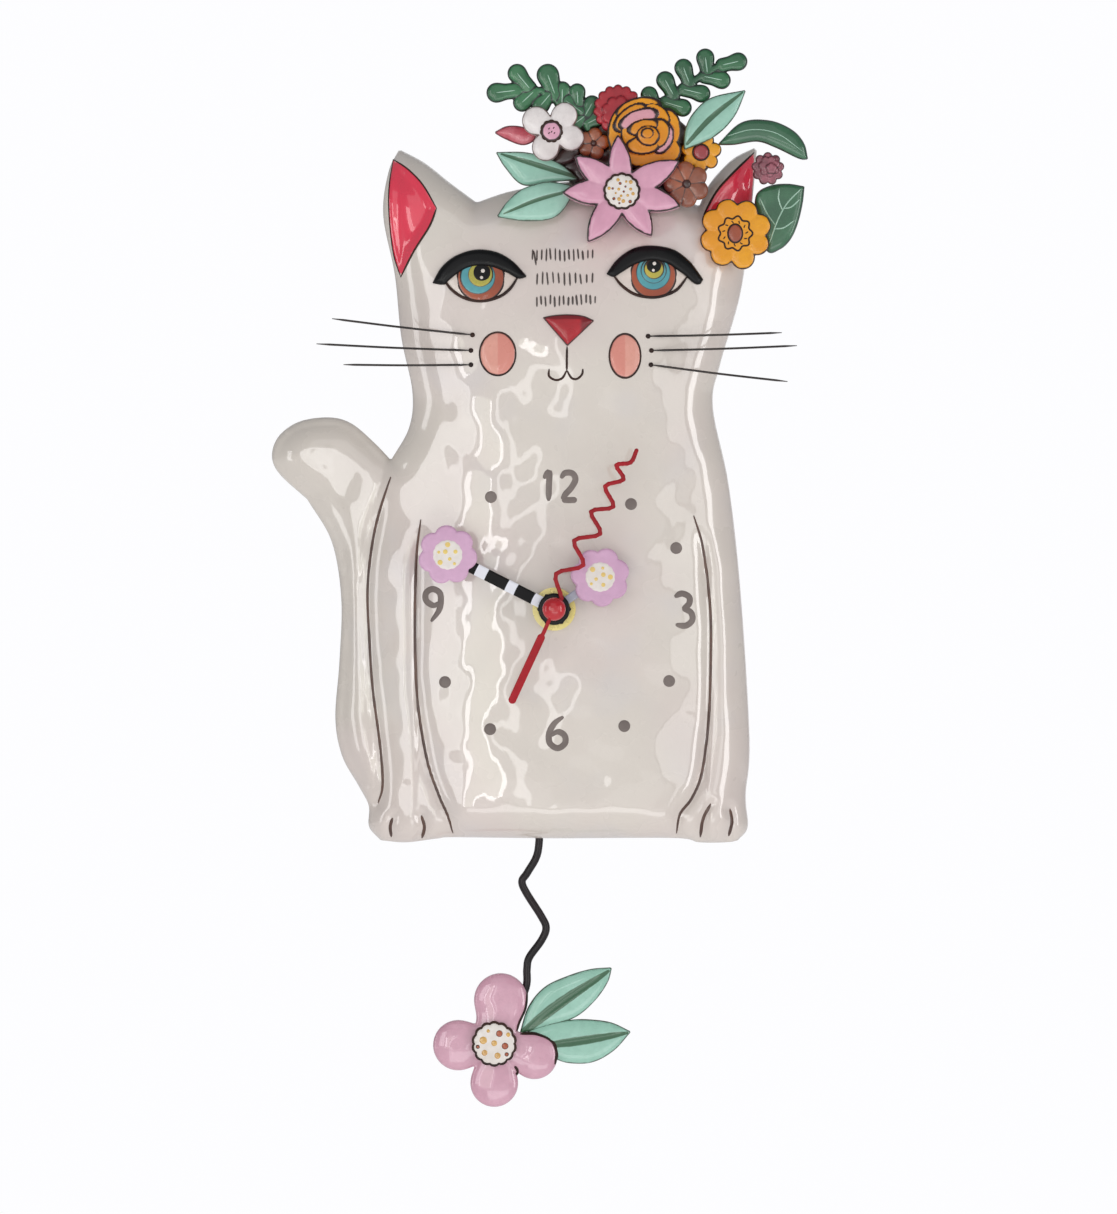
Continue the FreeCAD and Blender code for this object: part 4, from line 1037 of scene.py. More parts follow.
HOUR_FLOWER = (17.7, 12.3)
MINUTE_FLOWER = (-40.8, 20.8)
SECOND_ZIGZAG = [(0, 0), (2.8, 4.2), (0.8, 13.5), (11.2, 16.9), (7.7, 26.2), (17.7, 28.9),
                 (14.2, 37.3), (22.7, 39.3), (19.6, 47), (26.6, 49.7), (23.9, 55.1), (29.3, 56.2),
                 (31.6, 60.8)]


def flat_front(level, reach=0.8, height=0.3):
    """A flat front with a softly rounded edge."""
    return lambda places, inset: level - height + height * dome(inset, reach)


def hand_flower(name, centre, lobe_turn, dots, body):
    back, front = depths(name)
    petals = relief(f"{name}_petals", lobed(centre, 11.4, 7, 0.17, lobe_turn), 0.5,
                    flat_front(front, 1.2, 0.5), back, side_steps=2)
    give(petals, "hand_pink", name, body)
    middle = relief(f"{name}_middle", lobed(centre, 5.7, 14, 0.05), 0.4,
                    flat_front(front + 0.25, 0.6, 0.2), front - 0.4)
    give(middle, "plain_white", body=body)
    for index, (offset_right, offset_up, radius) in enumerate(dots):
        spot = relief(f"{name}_dot_{index + 1}",
                      disc((centre[0] + offset_right, centre[1] + offset_up), radius), 0.2,
                      flat_front(front + 0.4, 0.5, 0.12), front)
        give(spot, "pale_yellow", body=body)


def stripes(places, inset):
    """Negative on the pale bands along the minute hand, by distance from the shaft."""
    out = np.hypot(places[:, 0], places[:, 1])
    bands = [(4.0, 9.2), (16.5, 20.4), (29.1, 33.5)]
    return np.min([np.abs(out - (a + b) / 2) - (b - a) / 2 for a, b in bands], axis=0)


def hands():
    spots = [(0, 3.9, 1.0), (-0.9, 1.2, 0.9), (3.0, 1.2, 0.8), (0.8, -1.6, 0.7), (-2.9, -2.9, 1.0),
             (-3.4, 1.0, 0.6), (2.6, -3.4, 0.6)]
    hand_flower("hour_hand_flower", HOUR_FLOWER, 70, [(y, -x, r) for x, y, r in spots],
                "hour_hand_body")
    hand_flower("minute_hand_flower", MINUTE_FLOWER, 94, spots, "minute_hand_body")

    back, front = depths("hour_hand")
    hour = union([bar((0, 0), (11, 7.6), 1.6), disc((0, 0), 4.6)], 0.6)
    piece = relief("hour_hand_bar", hour, 0.4, flat_front(front, 0.5, 0.25), back)
    give(piece, "hand_grey", "hour_hand", "hour_hand_body")

    back = back_of("minute_hand")
    minute = relief("minute_hand_bar", bar((0, 0), (-34, 17.3), 2.3), 0.4,
                    flat_front(back + 1.0, 0.5, 0.25), back, {"stripe": stripes})
    give(minute, "hand_black", "minute_hand", "minute_hand_body")
    hub = relief("minute_hub", disc((0, 0), 6.1), 0.45,
                 flat_front(front_of("minute_hand"), 0.8, 0.4), back, side_steps=2)
    give(hub, "lid", body="minute_hand_body")

    back, front = depths("second_hand")
    wavy = curve(SECOND_ZIGZAG, steps=4)
    zigzag = [bar(a, b, 0.8) for a, b in zip(wavy, wavy[1:])]
    tail = [bar((0, 0), (-3.7, -8.4), 0.75), bar((-3.7, -8.4), (-5, -11), 0.75),
            bar((-5, -11), (-16, -34.8), 1.5), disc((0, 0), 2.2)]
    piece = relief("second_hand_zigzag", union(zigzag + tail, 0.25), 0.25,
                   flat_front(front, 0.4, 0.25), back)
    give(piece, "second", "second_hand", "second_hand_body")

    back, front = depths("second_hand_cap")
    cap = relief("second_hand_dome", disc((0, 0), 4.5), 0.3,
                 lambda p, i: back + 1.1 + (front - back - 1.1) * dome(i, 4.5), back, side_steps=2)
    give(cap, "cap", "second_hand_cap", "second_hand_body")


# ---------------------------------------------------------------- the crown of flowers

def teardrop(centre, head, radius, waist):
    """A rounded petal: a disc at its head that narrows towards the flower's middle."""
    return union([disc(head, radius), bar(centre, head, waist)], 2.0)


def around(centre, angles, reach):
    return [(centre[0] + reach * math.cos(math.radians(a)),
             centre[1] + reach * math.sin(math.radians(a))) for a in angles]


def domed_petals(petals, level, reach, height):
    """Each petal domed by itself, so that they crease where they meet."""
    def front(places, inset):
        return level - height + height * np.max(
            [dome(np.maximum(-petal.distance(places), 0), reach) for petal in petals], 0)
    return front


def on_piece(shape, front):
    """The front of a piece as a surface that strokes can follow."""
    return lambda places: front(places, np.maximum(-shape.distance(places), 0))


def spotted_middle(name, centre, radius, level, back, lobes, spots, body="clock_body", node=None):
    """A pale disc in a dark scalloped ring, sprinkled with ochre and brown dots."""
    ring = relief(f"{name}_ring", lobed(centre, radius + 0.75, lobes, 0.08), 0.35,
                  flat_front(level - 0.35, 0.6, 0.3), back)
    give(ring, "ink", body=body)
    pad = relief(f"{name}_pad", lobed(centre, radius, lobes, 0.07), 0.35,
                 lambda p, i: level - 0.6 + 0.75 * dome(i, 2.6), back)
    give(pad, "plain_white", node, body)
    for index, (right, up, size) in enumerate(spots):
        dot = relief(f"{name}_dot_{index + 1}", disc((centre[0] + right, centre[1] + up), size),
                     0.22, lambda p, i, s=size: level + 0.1 + 0.3 * dome(i, s), back)
        give(dot, "ochre" if index % 3 else "iris_brown", body=body)


GOLDEN_ANGLE = 2.399963


def scattered(seed, count, reach, smallest, largest):
    """Uneven dots in a disc, as somebody dabs them."""
    chance = np.random.default_rng(seed)
    spots = []
    for index in range(count):
        angle = index * GOLDEN_ANGLE + chance.uniform(-0.3, 0.3)
        out = reach * math.sqrt((index + 0.4) / count)
        spots.append((out * math.cos(angle), out * math.sin(angle),
                      chance.uniform(smallest, largest)))
    return spots


def leaf(name, node, paint, edges, rib=None, rib_width=1.2, height=1.6, veins=(), vein_width=0.5,
         body="clock_body", rise=(0, 0)):
    """A glazed leaf folded along its rib, with a painted rib or light veins. rise moves its back
    and its front off those of the CAD node."""
    back, front = np.array(depths(node)) + rise
    shape = outline(joined(edges))
    rib_line = curve(rib) if rib else None

    def folded(places, inset):
        surface = front - height + height * dome(inset, 4.5)
        if rib_line is not None:
            surface = surface - 0.45 * np.exp(-(measure(places, rib_line)[0] / 0.9) ** 2)
        return surface

    def rib_reach(places, inset):
        away, share, _ = measure(places, rib_line)
        thick = np.sin(math.pi * np.clip(share * 0.82 + 0.14, 0, 1)) ** 0.6
        return away / np.maximum(rib_width * thick, 0.12)
    piece = relief(name, shape, 0.5, folded, back, {"rib": rib_reach} if rib else None,
                   side_steps=2)
    give(piece, paint, node, body)
    if veins:
        lines = strokes(f"{name}_veins", [(line, vein_width) for line in veins],
                        on_piece(shape, folded), vein_width, rise=0.18)
        give(lines, "light_green", body=body)


CROWN_LEAVES = [
    ("leaf_mint_upper", "mint_leaf_upper", "mint",
     [[(10.1, 165.2), (-1.4, 164.3), (-12, 163.2), (-18.8, 169.8), (-22.6, 176)],
      [(-22.6, 176), (-10.2, 175.8), (1.2, 172.2), (10.1, 165.2)]],
     dict(rib=[(8.5, 166.3), (-6, 170.8), (-20.5, 175.2)], rib_width=1.05)),
    ("leaf_mint_lower", "mint_leaf_lower", "mint",
     [[(9.2, 162.3), (-1.4, 164.4), (-12, 161.8), (-18.2, 156.6), (-22.3, 150.8)],
      [(-22.3, 150.8), (-10.2, 149.2), (1.2, 151.2), (9.2, 162.3)]],
     dict(rib=[(5, 160.6), (-7, 157.2), (-19.5, 152)], rib_width=0.8)),
    ("leaf_mint_right", "mint_leaf_right", "mint",
     [[(49.8, 176.4), (50.2, 184), (53.6, 191), (60.6, 196.8), (74, 199.8)],
      [(74, 199.8), (69.4, 189.4), (61.6, 181.6), (49.8, 176.4)]],
     dict(rib=[(51.2, 179), (60.5, 189), (72.6, 198.8)], rib_width=1.05, rise=(3.8, 4))),
    ("leaf_long_dark", "curved_dark_leaf", "plain_green",
     [[(62.5, 178.5), (71.9, 187.2), (82.6, 188.1), (91.4, 184.6), (96.2, 179.3), (97.8, 172.9)],
      [(97.8, 172.9), (94, 173.3), (85.2, 177.5), (78.1, 179.8), (69.3, 178.6), (62.5, 178.5)]],
     dict(height=1.9, veins=[[(65.5, 181.6), (76, 184.4), (86, 182.8), (95.6, 176)]],
          vein_width=0.4)),
    ("leaf_veined", "veined_leaf", "plain_green",
     [[(77.4, 150), (77.8, 159.5), (83, 163.2), (90, 164), (96.6, 163)],
      [(96.6, 163), (95.8, 156), (93.8, 148), (91, 142.2), (87, 138.6), (82, 138), (77.4, 150)]],
     dict(height=1.8, vein_width=0.6,
          veins=[[(83, 141), (85.8, 149), (89.5, 156), (95.2, 162)],
                 [(85.2, 148), (82, 152.5), (79.5, 158)], [(88, 153.5), (86.5, 158), (86.8, 162)],
                 [(84.8, 146.5), (88.5, 147), (92.6, 149.8)],
                 [(88.6, 154.4), (91.4, 155), (94.6, 157.8)]])),
    ("bud_left", "red_bud", "bud",
     [[(-23.3, 183.5), (-18.2, 186), (-12, 185.7), (-7.2, 183), (-8, 180), (-12.5, 178.6),
       (-19, 181), (-23.3, 183.5)]], dict(height=1.8)),
]


def frond(name, stem, leaves, node):
    """A fern sprig: rounded leaves, each domed, with a pale line along it."""
    back, front = depths(node)
    blades = [teardrop(root, tip, wide * 1.07, wide * 0.95) for root, tip, wide in leaves]
    stalks = [bar(a, b, 1.5) for line in stem for a, b in zip(line, line[1:])]
    surface = domed_petals(blades + stalks, front + 0.6, 3.0, 1.3)
    shape = union(blades + stalks)

    def petal(places, inset):
        insets = np.sort([-blade.distance(places) for blade in blades], 0)
        return np.where(insets[-2] > 0, insets[-1] - insets[-2], 3.0)
    piece = relief(name, shape, 0.42, surface, back, {"petal": petal})
    give(piece, "green", node)
    lines = [([root, tip], 0.42) for root, tip, _ in leaves]
    veins = strokes(f"{name}_veins", lines, on_piece(shape, surface), 0.4, rise=0.12)
    give(veins, "light_green")


def ferns():
    frond("fern_left", [[(4, 190), (1, 195.5), (-5, 199.6), (-13, 199.6)],
                        [(13, 185), (10, 190), (8.5, 196)]],
          [((-15, 199.6), (-22.2, 198.8), 3.3), ((-9.5, 200.5), (-14.2, 206.2), 3.2),
           ((0.2, 198.5), (-2.4, 205.6), 3.8), ((-8, 199), (-12.3, 195), 3.0),
           ((-1.5, 198.2), (-5.2, 193.8), 2.9), ((9.2, 194.6), (8.9, 199.2), 2.7),
           ((12, 190), (14.6, 194.6), 2.7), ((11, 191), (4.6, 195.6), 2.6),
           ((13, 187), (17, 189), 2.6), ((11.6, 189.6), (8.2, 187), 2.6),
           ((3, 194), (3.2, 200), 2.7)], "fern_sprig_left")
    frond("fern_right", [[(38, 190.5), (45.4, 197), (52.5, 202.3), (58.7, 206.7), (64, 209.3)]],
          [((64.8, 209.4), (70.9, 210.8), 3.0), ((59, 206.5), (58.2, 212.3), 3.0),
           ((52, 202.6), (49.8, 208.4), 3.0), ((57.9, 205), (64.6, 203.6), 2.9),
           ((45.8, 198), (42.8, 203.6), 3.0), ((50, 200), (56.8, 198.4), 2.9),
           ((39.6, 193), (36.6, 198), 2.8), ((43, 195), (49.6, 193), 2.9)],
          "fern_sprig_right")


def white_flower():
    back, front = depths("white_flower")
    centre = (-1.0, 183.7)
    heads = [((-6.8, 187.8), 5.5), ((4.0, 189.8), 5.0), ((6.6, 181.2), 4.9), ((-3.2, 177.6), 5.3)]
    petals = [teardrop(centre, head, radius, 3.6) for head, radius in heads]
    piece = relief("white_flower_petals", union(petals), 0.42,
                   domed_petals(petals, front, 4.6, 1.4), back, side_steps=2)
    give(piece, "white", "white_flower")
    ring = relief("white_flower_ring", lobed(centre, 4.5, 11, 0.1), 0.3,
                  flat_front(front + 0.35, 0.6, 0.3), front - 1.2)
    give(ring, "ink")
    middle = relief("white_flower_middle", disc(centre, 3.85), 0.3,
                    lambda p, i: front + 0.2 + 0.5 * dome(i, 2.4), front - 1.0)
    give(middle, "pink")
    dabs = [([(centre[0] + a, centre[1] + b), (centre[0] + a + 0.5, centre[1] + b + 0.7)], 0.4)
            for a, b in ((-1.2, 0.6), (0.6, 0.9), (-0.2, -0.6), (0.9, -1.1), (-1.2, -1.1))]
    dots = strokes("white_flower_dabs", dabs, lambda p: front + 0.72 + 0 * p[:, 0], 0.4, rise=0.1)
    give(dots, "ink")


def star_flower():
    back, front = depths("star_flower")
    centre = (26.0, 160.3)
    tips = [(94, 22.0, 4.6), (28, 25.2, 5.1), (-14, 23.4, 5.0), (-56, 20.8, 5.0),
            (-124, 23.6, 5.2), (181, 23.0, 5.1), (143, 22.8, 5.0)]
    petals = [pointed(around(centre, [angle + 180], 4)[0], around(centre, [angle], reach)[0], wide)
              for angle, reach, wide in tips]
    surface = domed_petals(petals + [disc(centre, 8)], front, 5.2, 1.5)
    piece = relief("star_flower_petals", union(petals + [disc(centre, 8)], 0.8), 0.45, surface,
                   back, side_steps=2)
    give(piece, "pink", "star_flower")
    spotted_middle("star_flower", centre, 6.5, front + 1.0, front - 1.4, 13,
                   scattered(3, 19, 5.2, 0.42, 0.8))


def layered(name, node, paint, layers, pitch, height, reach):
    """Overlapping petals, each (shape, level, blush): the highest shows, and keeps its own edge."""
    def stack(places):
        levels, insets = [], []
        for shape, level, _ in layers:
            inset = -shape.distance(places)
            surface = level - height + height * dome(np.maximum(inset, 0), reach)
            levels.append(np.where(inset > 0, surface, -1000.0))
            insets.append(inset)
        top = np.argmax(levels, 0)
        column = np.arange(len(places))
        return (np.maximum(np.array(levels)[top, column], min(l for _, l, _ in layers) - height),
                np.array(insets)[top, column], top)

    def blush(places, inset):
        marked = np.array([b for _, _, b in layers])
        return 1.0 - marked[stack(places)[2]]
    measures = {"petal": lambda places, inset: np.maximum(stack(places)[1], 0), "blush": blush}
    piece = relief(name, union([shape for shape, _, _ in layers], 0.5), pitch,
                   lambda places, inset: stack(places)[0], back_of(node), measures, side_steps=2)
    give(piece, paint, node)


def rose():
    front = front_of("rose")
    centre = np.array([34.8, 183.3])

    def petal(right, up, wide, high, turn, drop, pink=0.0):
        return (ellipse(centre + (right, up), wide, high, turn), front - drop, pink)
    layered("rose_petals", "rose", "rose", [
        petal(-8.6, 0.5, 5.8, 9.8, -6, 3.6), petal(-2.5, 8.2, 9.6, 5.2, 16, 3.3),
        petal(9.2, 1.5, 5.0, 8.0, 6, 3.9), petal(8.6, -7.0, 5.6, 5.4, 4, 3.7),
        petal(0.0, -8.6, 9.6, 5.0, 4, 3.5), petal(-7.2, -5.6, 6.2, 7.0, 30, 3.8),
        petal(4.2, 6.2, 6.4, 4.6, -38, 2.9), petal(-5.4, 5.6, 8.2, 4.2, 38, 2.6),
        petal(-2.4, 5.0, 8.4, 3.8, 20, 1.9, 1.0), petal(6.6, -2.2, 4.6, 6.6, -18, 2.3, 1.0),
        petal(5.2, -0.6, 4.6, 6.2, -14, 1.7), petal(-5.4, -0.8, 4.0, 6.0, 4, 2.2),
        petal(-0.5, -5.0, 7.0, 3.8, 4, 1.5), petal(-0.6, 1.8, 6.6, 3.3, 14, 1.2),
        petal(1.3, -1.4, 4.7, 4.2, -8, 0.6), petal(1.0, -0.6, 3.0, 2.4, 10, 0.1)],
        pitch=0.3, height=1.0, reach=2.0)


def ruffled_flowers():
    """The red carnation behind the rose and the dark frill behind the ear."""
    centre, front = (24.6, 192.2), front_of("red_carnation")
    layers = [(lobed(centre, 9.6, 15, 0.12), front - 1.2, 0.0),
              (lobed((24.9, 190.6), 7.0, 9, 0.16, 80), front - 0.3, 0.0)]
    layered("carnation_petals", "red_carnation", "red", layers, 0.35, height=1.0, reach=1.6)
    centre, front = (82.3, 169.6), front_of("maroon_bud")
    layers = [(lobed(centre, 6.4, 9, 0.2), front - 1.2, 0.0),
              (lobed((82.8, 170.4), 4.4, 7, 0.24, 70), front - 0.4, 0.0),
              (lobed((83.6, 169.6), 2.4, 5, 0.2), front + 0.4, 0.0)]
    layered("maroon_frill", "maroon_bud", "maroon", layers, 0.35, height=0.9, reach=1.2)


def brown_flowers():
    for name, centre, reach, size, angles in (
            ("brown_flower_left", (15.2, 179.2), 3.4, 2.7, (80, 150, 215, 290, 10)),
            ("brown_flower_right", (50.9, 163.4), 5.2, 3.6, (95, 35, -25, -85, 180, 235, 140))):
        back, front = depths(name)
        petals = [teardrop(centre, head, size, size * 0.55) for head in around(centre, angles,
                                                                               reach)]
        eye_spot = disc(centre, size * 0.62)

        def crease(places, inset, petals=petals):
            insets = np.sort([-petal.distance(places) for petal in petals], 0)
            return insets[-1] - insets[-2] + 0.05
        piece = relief(f"{name}_petals", union(petals + [eye_spot]), 0.35,
                       domed_petals(petals + [eye_spot], front, size * 0.9, 1.2), back,
                       {"petal": crease})
        give(piece, "brown", name)
        bead = relief(f"{name}_bead", disc(centre, size * 0.5), 0.3,
                      lambda p, i, f=front, s=size: f - 0.3 + 1.1 * dome(i, s * 0.5), front - 1.5)
        give(bead, "plain_brown")


def yellow_flowers():
    back, front = depths("yellow_flower")
    centre = (69.7, 144.6)
    heads = [(18, 9.6, 4.6), (62, 9.2, 4.5), (108, 9.2, 4.4), (150, 9.6, 4.4), (196, 9.4, 4.3),
             (238, 9.2, 4.6), (288, 9.6, 4.6), (-24, 9.4, 4.4)]
    petals = [teardrop(centre, around(centre, [a], r)[0], s, 3.4) for a, r, s in heads]
    shape = union(petals + [disc(centre, 8.5)], 0.8)
    surface = domed_petals(petals + [disc(centre, 9)], front + 0.5, 3.4, 1.0)
    piece = relief("yellow_flower_petals", shape, 0.45, surface, front - 4.0, side_steps=2)
    give(piece, "yellow", "yellow_flower")
    ring = [around(centre, [a], 6.2 + 0.55 * math.cos(math.radians(a * 9)))[0]
            for a in np.linspace(0, 360, 73)]
    lines = [(ring[i:i + 7], 0.7) for i in range(0, 72, 6)]
    lines += [(around(centre, [a], 4.0) + around(centre, [a + 7], 5.0), 0.45)
              for a in range(0, 360, 33)]
    scallops = strokes("yellow_flower_scallops", lines, on_piece(shape, surface), 0.6, rise=0.15,
                       taper=False)
    give(scallops, "ink")
    rim = relief("yellow_flower_middle_rim", ellipse(centre, 3.2, 4.0), 0.3,
                 flat_front(front + 0.65, 0.5, 0.2), front - 1)
    give(rim, "ink")
    middle = relief("yellow_flower_middle", ellipse(centre, 2.7, 3.5), 0.3,
                    lambda p, i: front + 0.6 + 0.5 * dome(i, 2.0), front - 1)
    give(middle, "iris_brown")

    back, front = back_of("mint_leaf_right") + 0.1, front_of("mint_leaf_right") + 0.2
    centre = (56.5, 175.8)
    petals = [teardrop(centre, head, 2.5, 1.8) for head in around(centre, range(12, 372, 51), 5.2)]
    shape = union(petals, 0.5)
    piece = relief("small_yellow_petals", shape, 0.35, domed_petals(petals, front, 2.2, 0.9), back,
                   side_steps=2)
    give(piece, "yellow", "small_yellow_flower")
    rim = relief("small_yellow_middle_rim", disc(centre, 3.4), 0.3,
                 flat_front(front + 0.35, 0.5, 0.2), front - 1)
    give(rim, "ink")
    middle = relief("small_yellow_middle", disc(centre, 2.8), 0.3,
                    lambda p, i: front + 0.3 + 0.5 * dome(i, 2.0), front - 1)
    give(middle, "plain_red")


CROWN_BASE = [(-2, 178), (0, 186), (8, 191), (17, 197), (33, 196), (46, 190), (56, 181),
              (61, 174), (57, 167), (50, 160), (44, 158), (34, 158), (20, 158), (10, 162), (2, 169)]


def crown_backing():
    back, front = depths("crown_base")
    shape = outline(curve(CROWN_BASE, True))

    def surface(places, inset):
        return front - 2.5 + 2.0 * dome(inset, 5) + 0.5 * waves(places, 8, 9, 4)
    piece = relief("crown_backing", shape, 0.9, surface, back, side_steps=3)
    give(piece, "plain_brown", "crown_base")
    tuft = relief("brown_leaf", pointed((11, 178), (-0.5, 171.5), 3.2), 0.4,
                  lambda p, i: front + 0.4 + 1.6 * dome(i, 3), front - 1.5)
    give(tuft, "plain_brown")


# ---------------------------------------------------------------- the pendulum

ROD_PATH = [(-13.2, -61.2), (-13.2, -70), (-6.5, -80), (-6.2, -93.5), (-10.2, -101.6),
            (-12.4, -105.2), (-10.6, -109.8), (-5, -118.6), (-3.1, -123.2), (-4.9, -128),
            (-9.6, -134.6), (-10.5, -139.2), (-11, -146.6), (-17, -160)]


def pendulum():
    depth = (back_of("pendulum_rod") + front_of("pendulum_rod")) / 2
    points = np.array([(right, depth, up) for right, up in ROD_PATH])
    give(wire("rod_wire", [points], 1.5, sides=16), "rod", "pendulum_rod", "pendulum_body")

    back, front = depths("bob_flower")
    centre = (-23.1, -167.7)
    heads = [((-20.6, -150.9), 10.3), ((-37.0, -168.4), 9.7), ((-23.1, -183.0), 9.2),
             ((-7.6, -172.6), 8.9)]
    petals = [teardrop(centre, head, radius, radius * 0.8) for head, radius in heads]
    smooth = domed_petals(petals, front, 8.5, 2.6)

    def surface(places, inset):
        return np.minimum(smooth(places, inset) + 0.12 * waves(places, 21, 16, 6), front)
    piece = relief("bob_petals", union(petals, 0.6), 0.5, surface, back, side_steps=3)
    give(piece, "bob_pink", "bob_flower", "pendulum_body")
    spots = [(2.0, 4.0, 1.35), (-4.2, 1.4, 1.5), (0, 0.3, 1.2), (4.2, -0.8, 1.35), (-3.7, -3.4, 1.2),
             (1.3, -4.5, 1.25), (4.8, -4.0, 0.85), (5.4, 3.6, 0.85), (-2.3, 5.0, 0.7),
             (-6.3, -1.1, 0.8)]
    pad_back, pad_front = depths("bob_flower_centre")
    spotted_middle("bob_middle", centre, 8.1, pad_front - 0.4, pad_back - 2.5, 14, spots,
                   "pendulum_body", "bob_flower_centre")

    leaf("bob_leaf_top", "bob_leaf_upper", "mint",
         [[(-13.5, -164.2), (-10, -153.5), (-3.8, -146), (5, -141.7), (14, -139), (22.4, -138.3)],
          [(22.4, -138.3), (20.8, -144), (16, -151), (8.3, -157.6), (-2.5, -161),
           (-13.5, -164.2)]],
         rib=[(-12, -163.4), (2, -152.4), (21, -139.8)], rib_width=2.0, height=1.5,
         body="pendulum_body", rise=(-0.4, -1.2))
    leaf("bob_leaf_side", "bob_leaf_lower", "mint",
         [[(-13, -166), (-8, -161.6), (-1.5, -159.6), (6, -158.6), (13, -158.4), (22, -159.6),
           (29.8, -163.2)],
          [(29.8, -163.2), (23.5, -170.2), (16.2, -174.6), (9, -175.6), (1, -174), (-13, -166)]],
         rib=[(-4, -168.6), (12, -166.4), (28.4, -163.6)], rib_width=1.7, height=1.5,
         body="pendulum_body", rise=(-0.6, -1.8))
    creases = [([(-10.3, -147.6), (-11, -154), (-13.4, -159.6), (-14.4, -163)], 0.9),
               ([(-13, -164), (-6.8, -164), (-1, -166.6), (1, -171), (0.4, -175.8)], 1.2),
               ([(-15.2, -176.4), (-14.2, -178), (-14.4, -180)], 1.1)]
    give(strokes("bob_outline", creases, on_piece(union(petals, 0.6), surface), 0.9, rise=0.4),
         "ink", body="pendulum_body")


# ---------------------------------------------------------------- movement, stage and light

def finish_movement():
    """The CAD parts that show as they are get the finish of their slot."""
    finishes = {slot: spun(*values) for slot, values in MOVEMENT_FINISHES.items()}
    slots = {part["node"]: part["material_slot"] for part in frame["record"]["subparts"]}
    for name, item in nodes.items():
        if item.hide_render:
            continue
        finish = finishes.get(slots[name], finishes["steel"])
        if name == "brass_washer":
            finish = PAINTS["gold"]
        if name == "dial_nut":
            finish = PAINTS["dark_metal"]
        for place in item.material_slots:
            place.material = finish


SKY = (1.0, 1.0, 1.0)
GARDEN = (0.93, 0.97, 0.8)


def soft_light(name, place, target, wide, high, power, colour=SKY):
    lamp = bpy.data.lights.new(name, "AREA")
    lamp.shape = "RECTANGLE"
    lamp.size, lamp.size_y = wide, high
    lamp.energy = power
    lamp.color = colour
    item = bpy.data.objects.new(name, lamp)
    item.location = place
    aim = target - item.location
    item.rotation_euler = aim.to_track_quat("-Z", "Y").to_euler()
    bpy.context.scene.collection.objects.link(item)


# panes of the window that the belly reflects: place across, distance, width, strength, tint
PANES = [
    (-0.16, 2.6, 0.08, 6.0, SKY), (-0.22, 1.45, 0.035, 14.0, SKY),
    (-0.38, 1.5, 0.28, 3.6, GARDEN), (-0.56, 1.45, 0.07, 13.0, SKY),
]
# name, place, width, height, power
LIGHTS = [
    ("left_fill", (-1.15, -1.9, 0.05), 0.5, 1.0, 3.4),
    ("right_fill", (1.25, -1.9, 0.05), 0.5, 1.0, 2.0),
    ("right_window", (1.3, -0.95, -0.05), 0.35, 1.1, 4.2),
    ("high_fill", (-0.3, -2.3, 1.5), 1.8, 0.9, 2.4),
    ("low_fill", (0.2, -1.9, -1.15), 1.6, 0.8, 6.0),
    ("front_wall", (0.0, -4.7, 0.0), 4.5, 4.0, 25.5),
    ("rear_fill", (0.4, 2.8, 0.6), 4.0, 3.0, 22.0),
    ("left_side", (-1.5, -0.5, -0.1), 0.35, 1.0, 2.2),
]


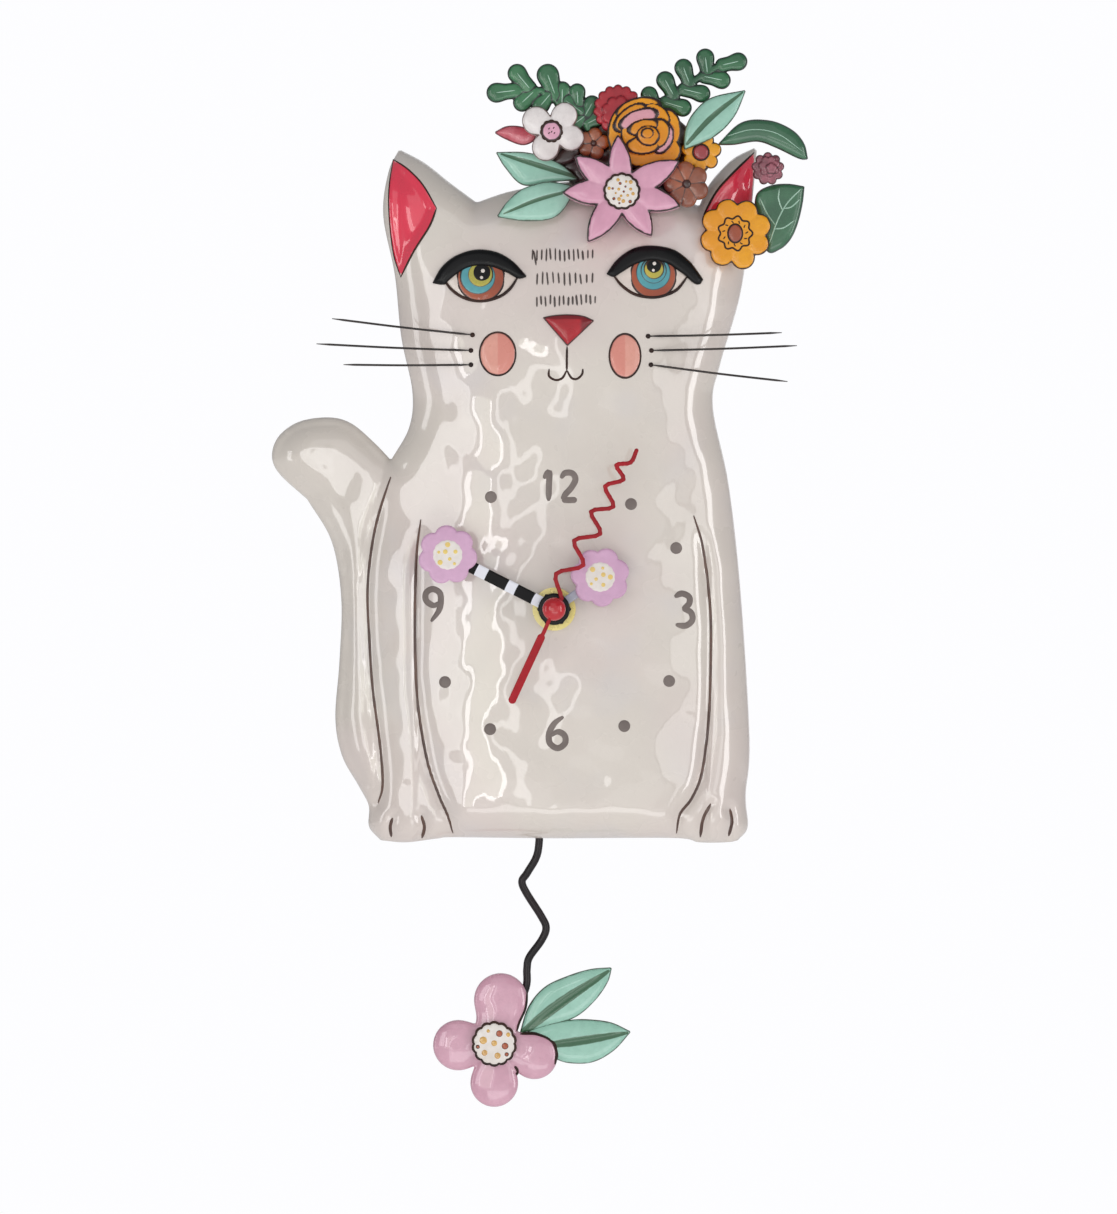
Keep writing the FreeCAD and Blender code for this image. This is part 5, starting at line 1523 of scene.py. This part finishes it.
def studio():
    middle = (cad_box[0] + cad_box[1]) / 2
    floor_level = -1.25
    turns = np.linspace(0, 2 * math.pi, 65)[:-1]
    rings = np.array([0.02, 3.0, 7.0, 12.0])
    corners = np.array([(r * math.cos(a), r * math.sin(a), floor_level) for r in rings
                        for a in turns])
    index = np.arange(len(corners)).reshape(len(rings), -1)
    floor = build_mesh("floor", corners, joined_rings(index))
    paint = glaze("floor_paint", (240, 240, 242), (234, 234, 237), patch=0.4, roughness=0.7,
                  coat=0.0, bump=0.0)
    shader = paint.node_tree.nodes["Principled BSDF"]
    shader.inputs["Emission Color"].default_value = (1, 1, 1, 1)
    shader.inputs["Emission Strength"].default_value = 0.28
    floor.data.materials.append(paint)

    world_data = bpy.data.worlds.new("studio")
    bpy.context.scene.world = world_data
    world_data.use_nodes = True
    tree = world_data.node_tree
    backdrop = tree.nodes["Background"]
    seen = add(tree, "ShaderNodeLightPath").outputs["Is Camera Ray"]
    room = add(tree, "ShaderNodeBackground", {"Color": (0.9, 0.93, 1.0, 1), "Strength": 0.34})
    backdrop.inputs["Color"].default_value = (0.985, 0.985, 1.0, 1)
    backdrop.inputs["Strength"].default_value = 1.0
    shared = add(tree, "ShaderNodeMixShader", {0: seen, 1: room.outputs[0],
                                               2: backdrop.outputs[0]})
    tree.links.new(shared.outputs[0], tree.nodes["World Output"].inputs["Surface"])

    for number, (across, away, wide, strength, colour) in enumerate(PANES):
        high = 0.36 * away
        soft_light(f"window_pane_{number + 1}", (across, -away, -0.24), Vector((0, 0, -0.2)),
                   wide, high, strength * wide * high, colour)
    for name, place, wide, high, power in LIGHTS:
        soft_light(name, place, middle, wide, high, power)


def camera():
    data = bpy.data.cameras.new("camera")
    item = bpy.data.objects.new("camera", data)
    bpy.context.scene.collection.objects.link(item)
    bpy.context.scene.camera = item
    distance, frame_height = 4.0, 0.4674
    in_focus = cad_box[0].y * 0.6
    item.location = (SHAFT_X + 0.0017, in_focus - distance, SHAFT_Z + 0.0008)
    item.rotation_euler = (math.pi / 2, 0, 0)
    data.sensor_fit = "AUTO"
    data.sensor_width = 36
    data.lens = data.sensor_width * distance / frame_height
    data.clip_end = 60
    bpy.context.scene.view_settings.view_transform = "Standard"


def main():
    camera()
    make_materials()
    cat_shell()
    painted_lines()
    eyes()
    nose_and_mouth()
    cheeks()
    forehead()
    whiskers()
    dial()
    hands()
    crown_backing()
    for name, node, paint, edges, options in CROWN_LEAVES:
        leaf(name, node, paint, edges, **options)
    ferns()
    white_flower()
    star_flower()
    rose()
    ruffled_flowers()
    brown_flowers()
    yellow_flowers()
    pendulum()
    finish_movement()
    studio()


main()
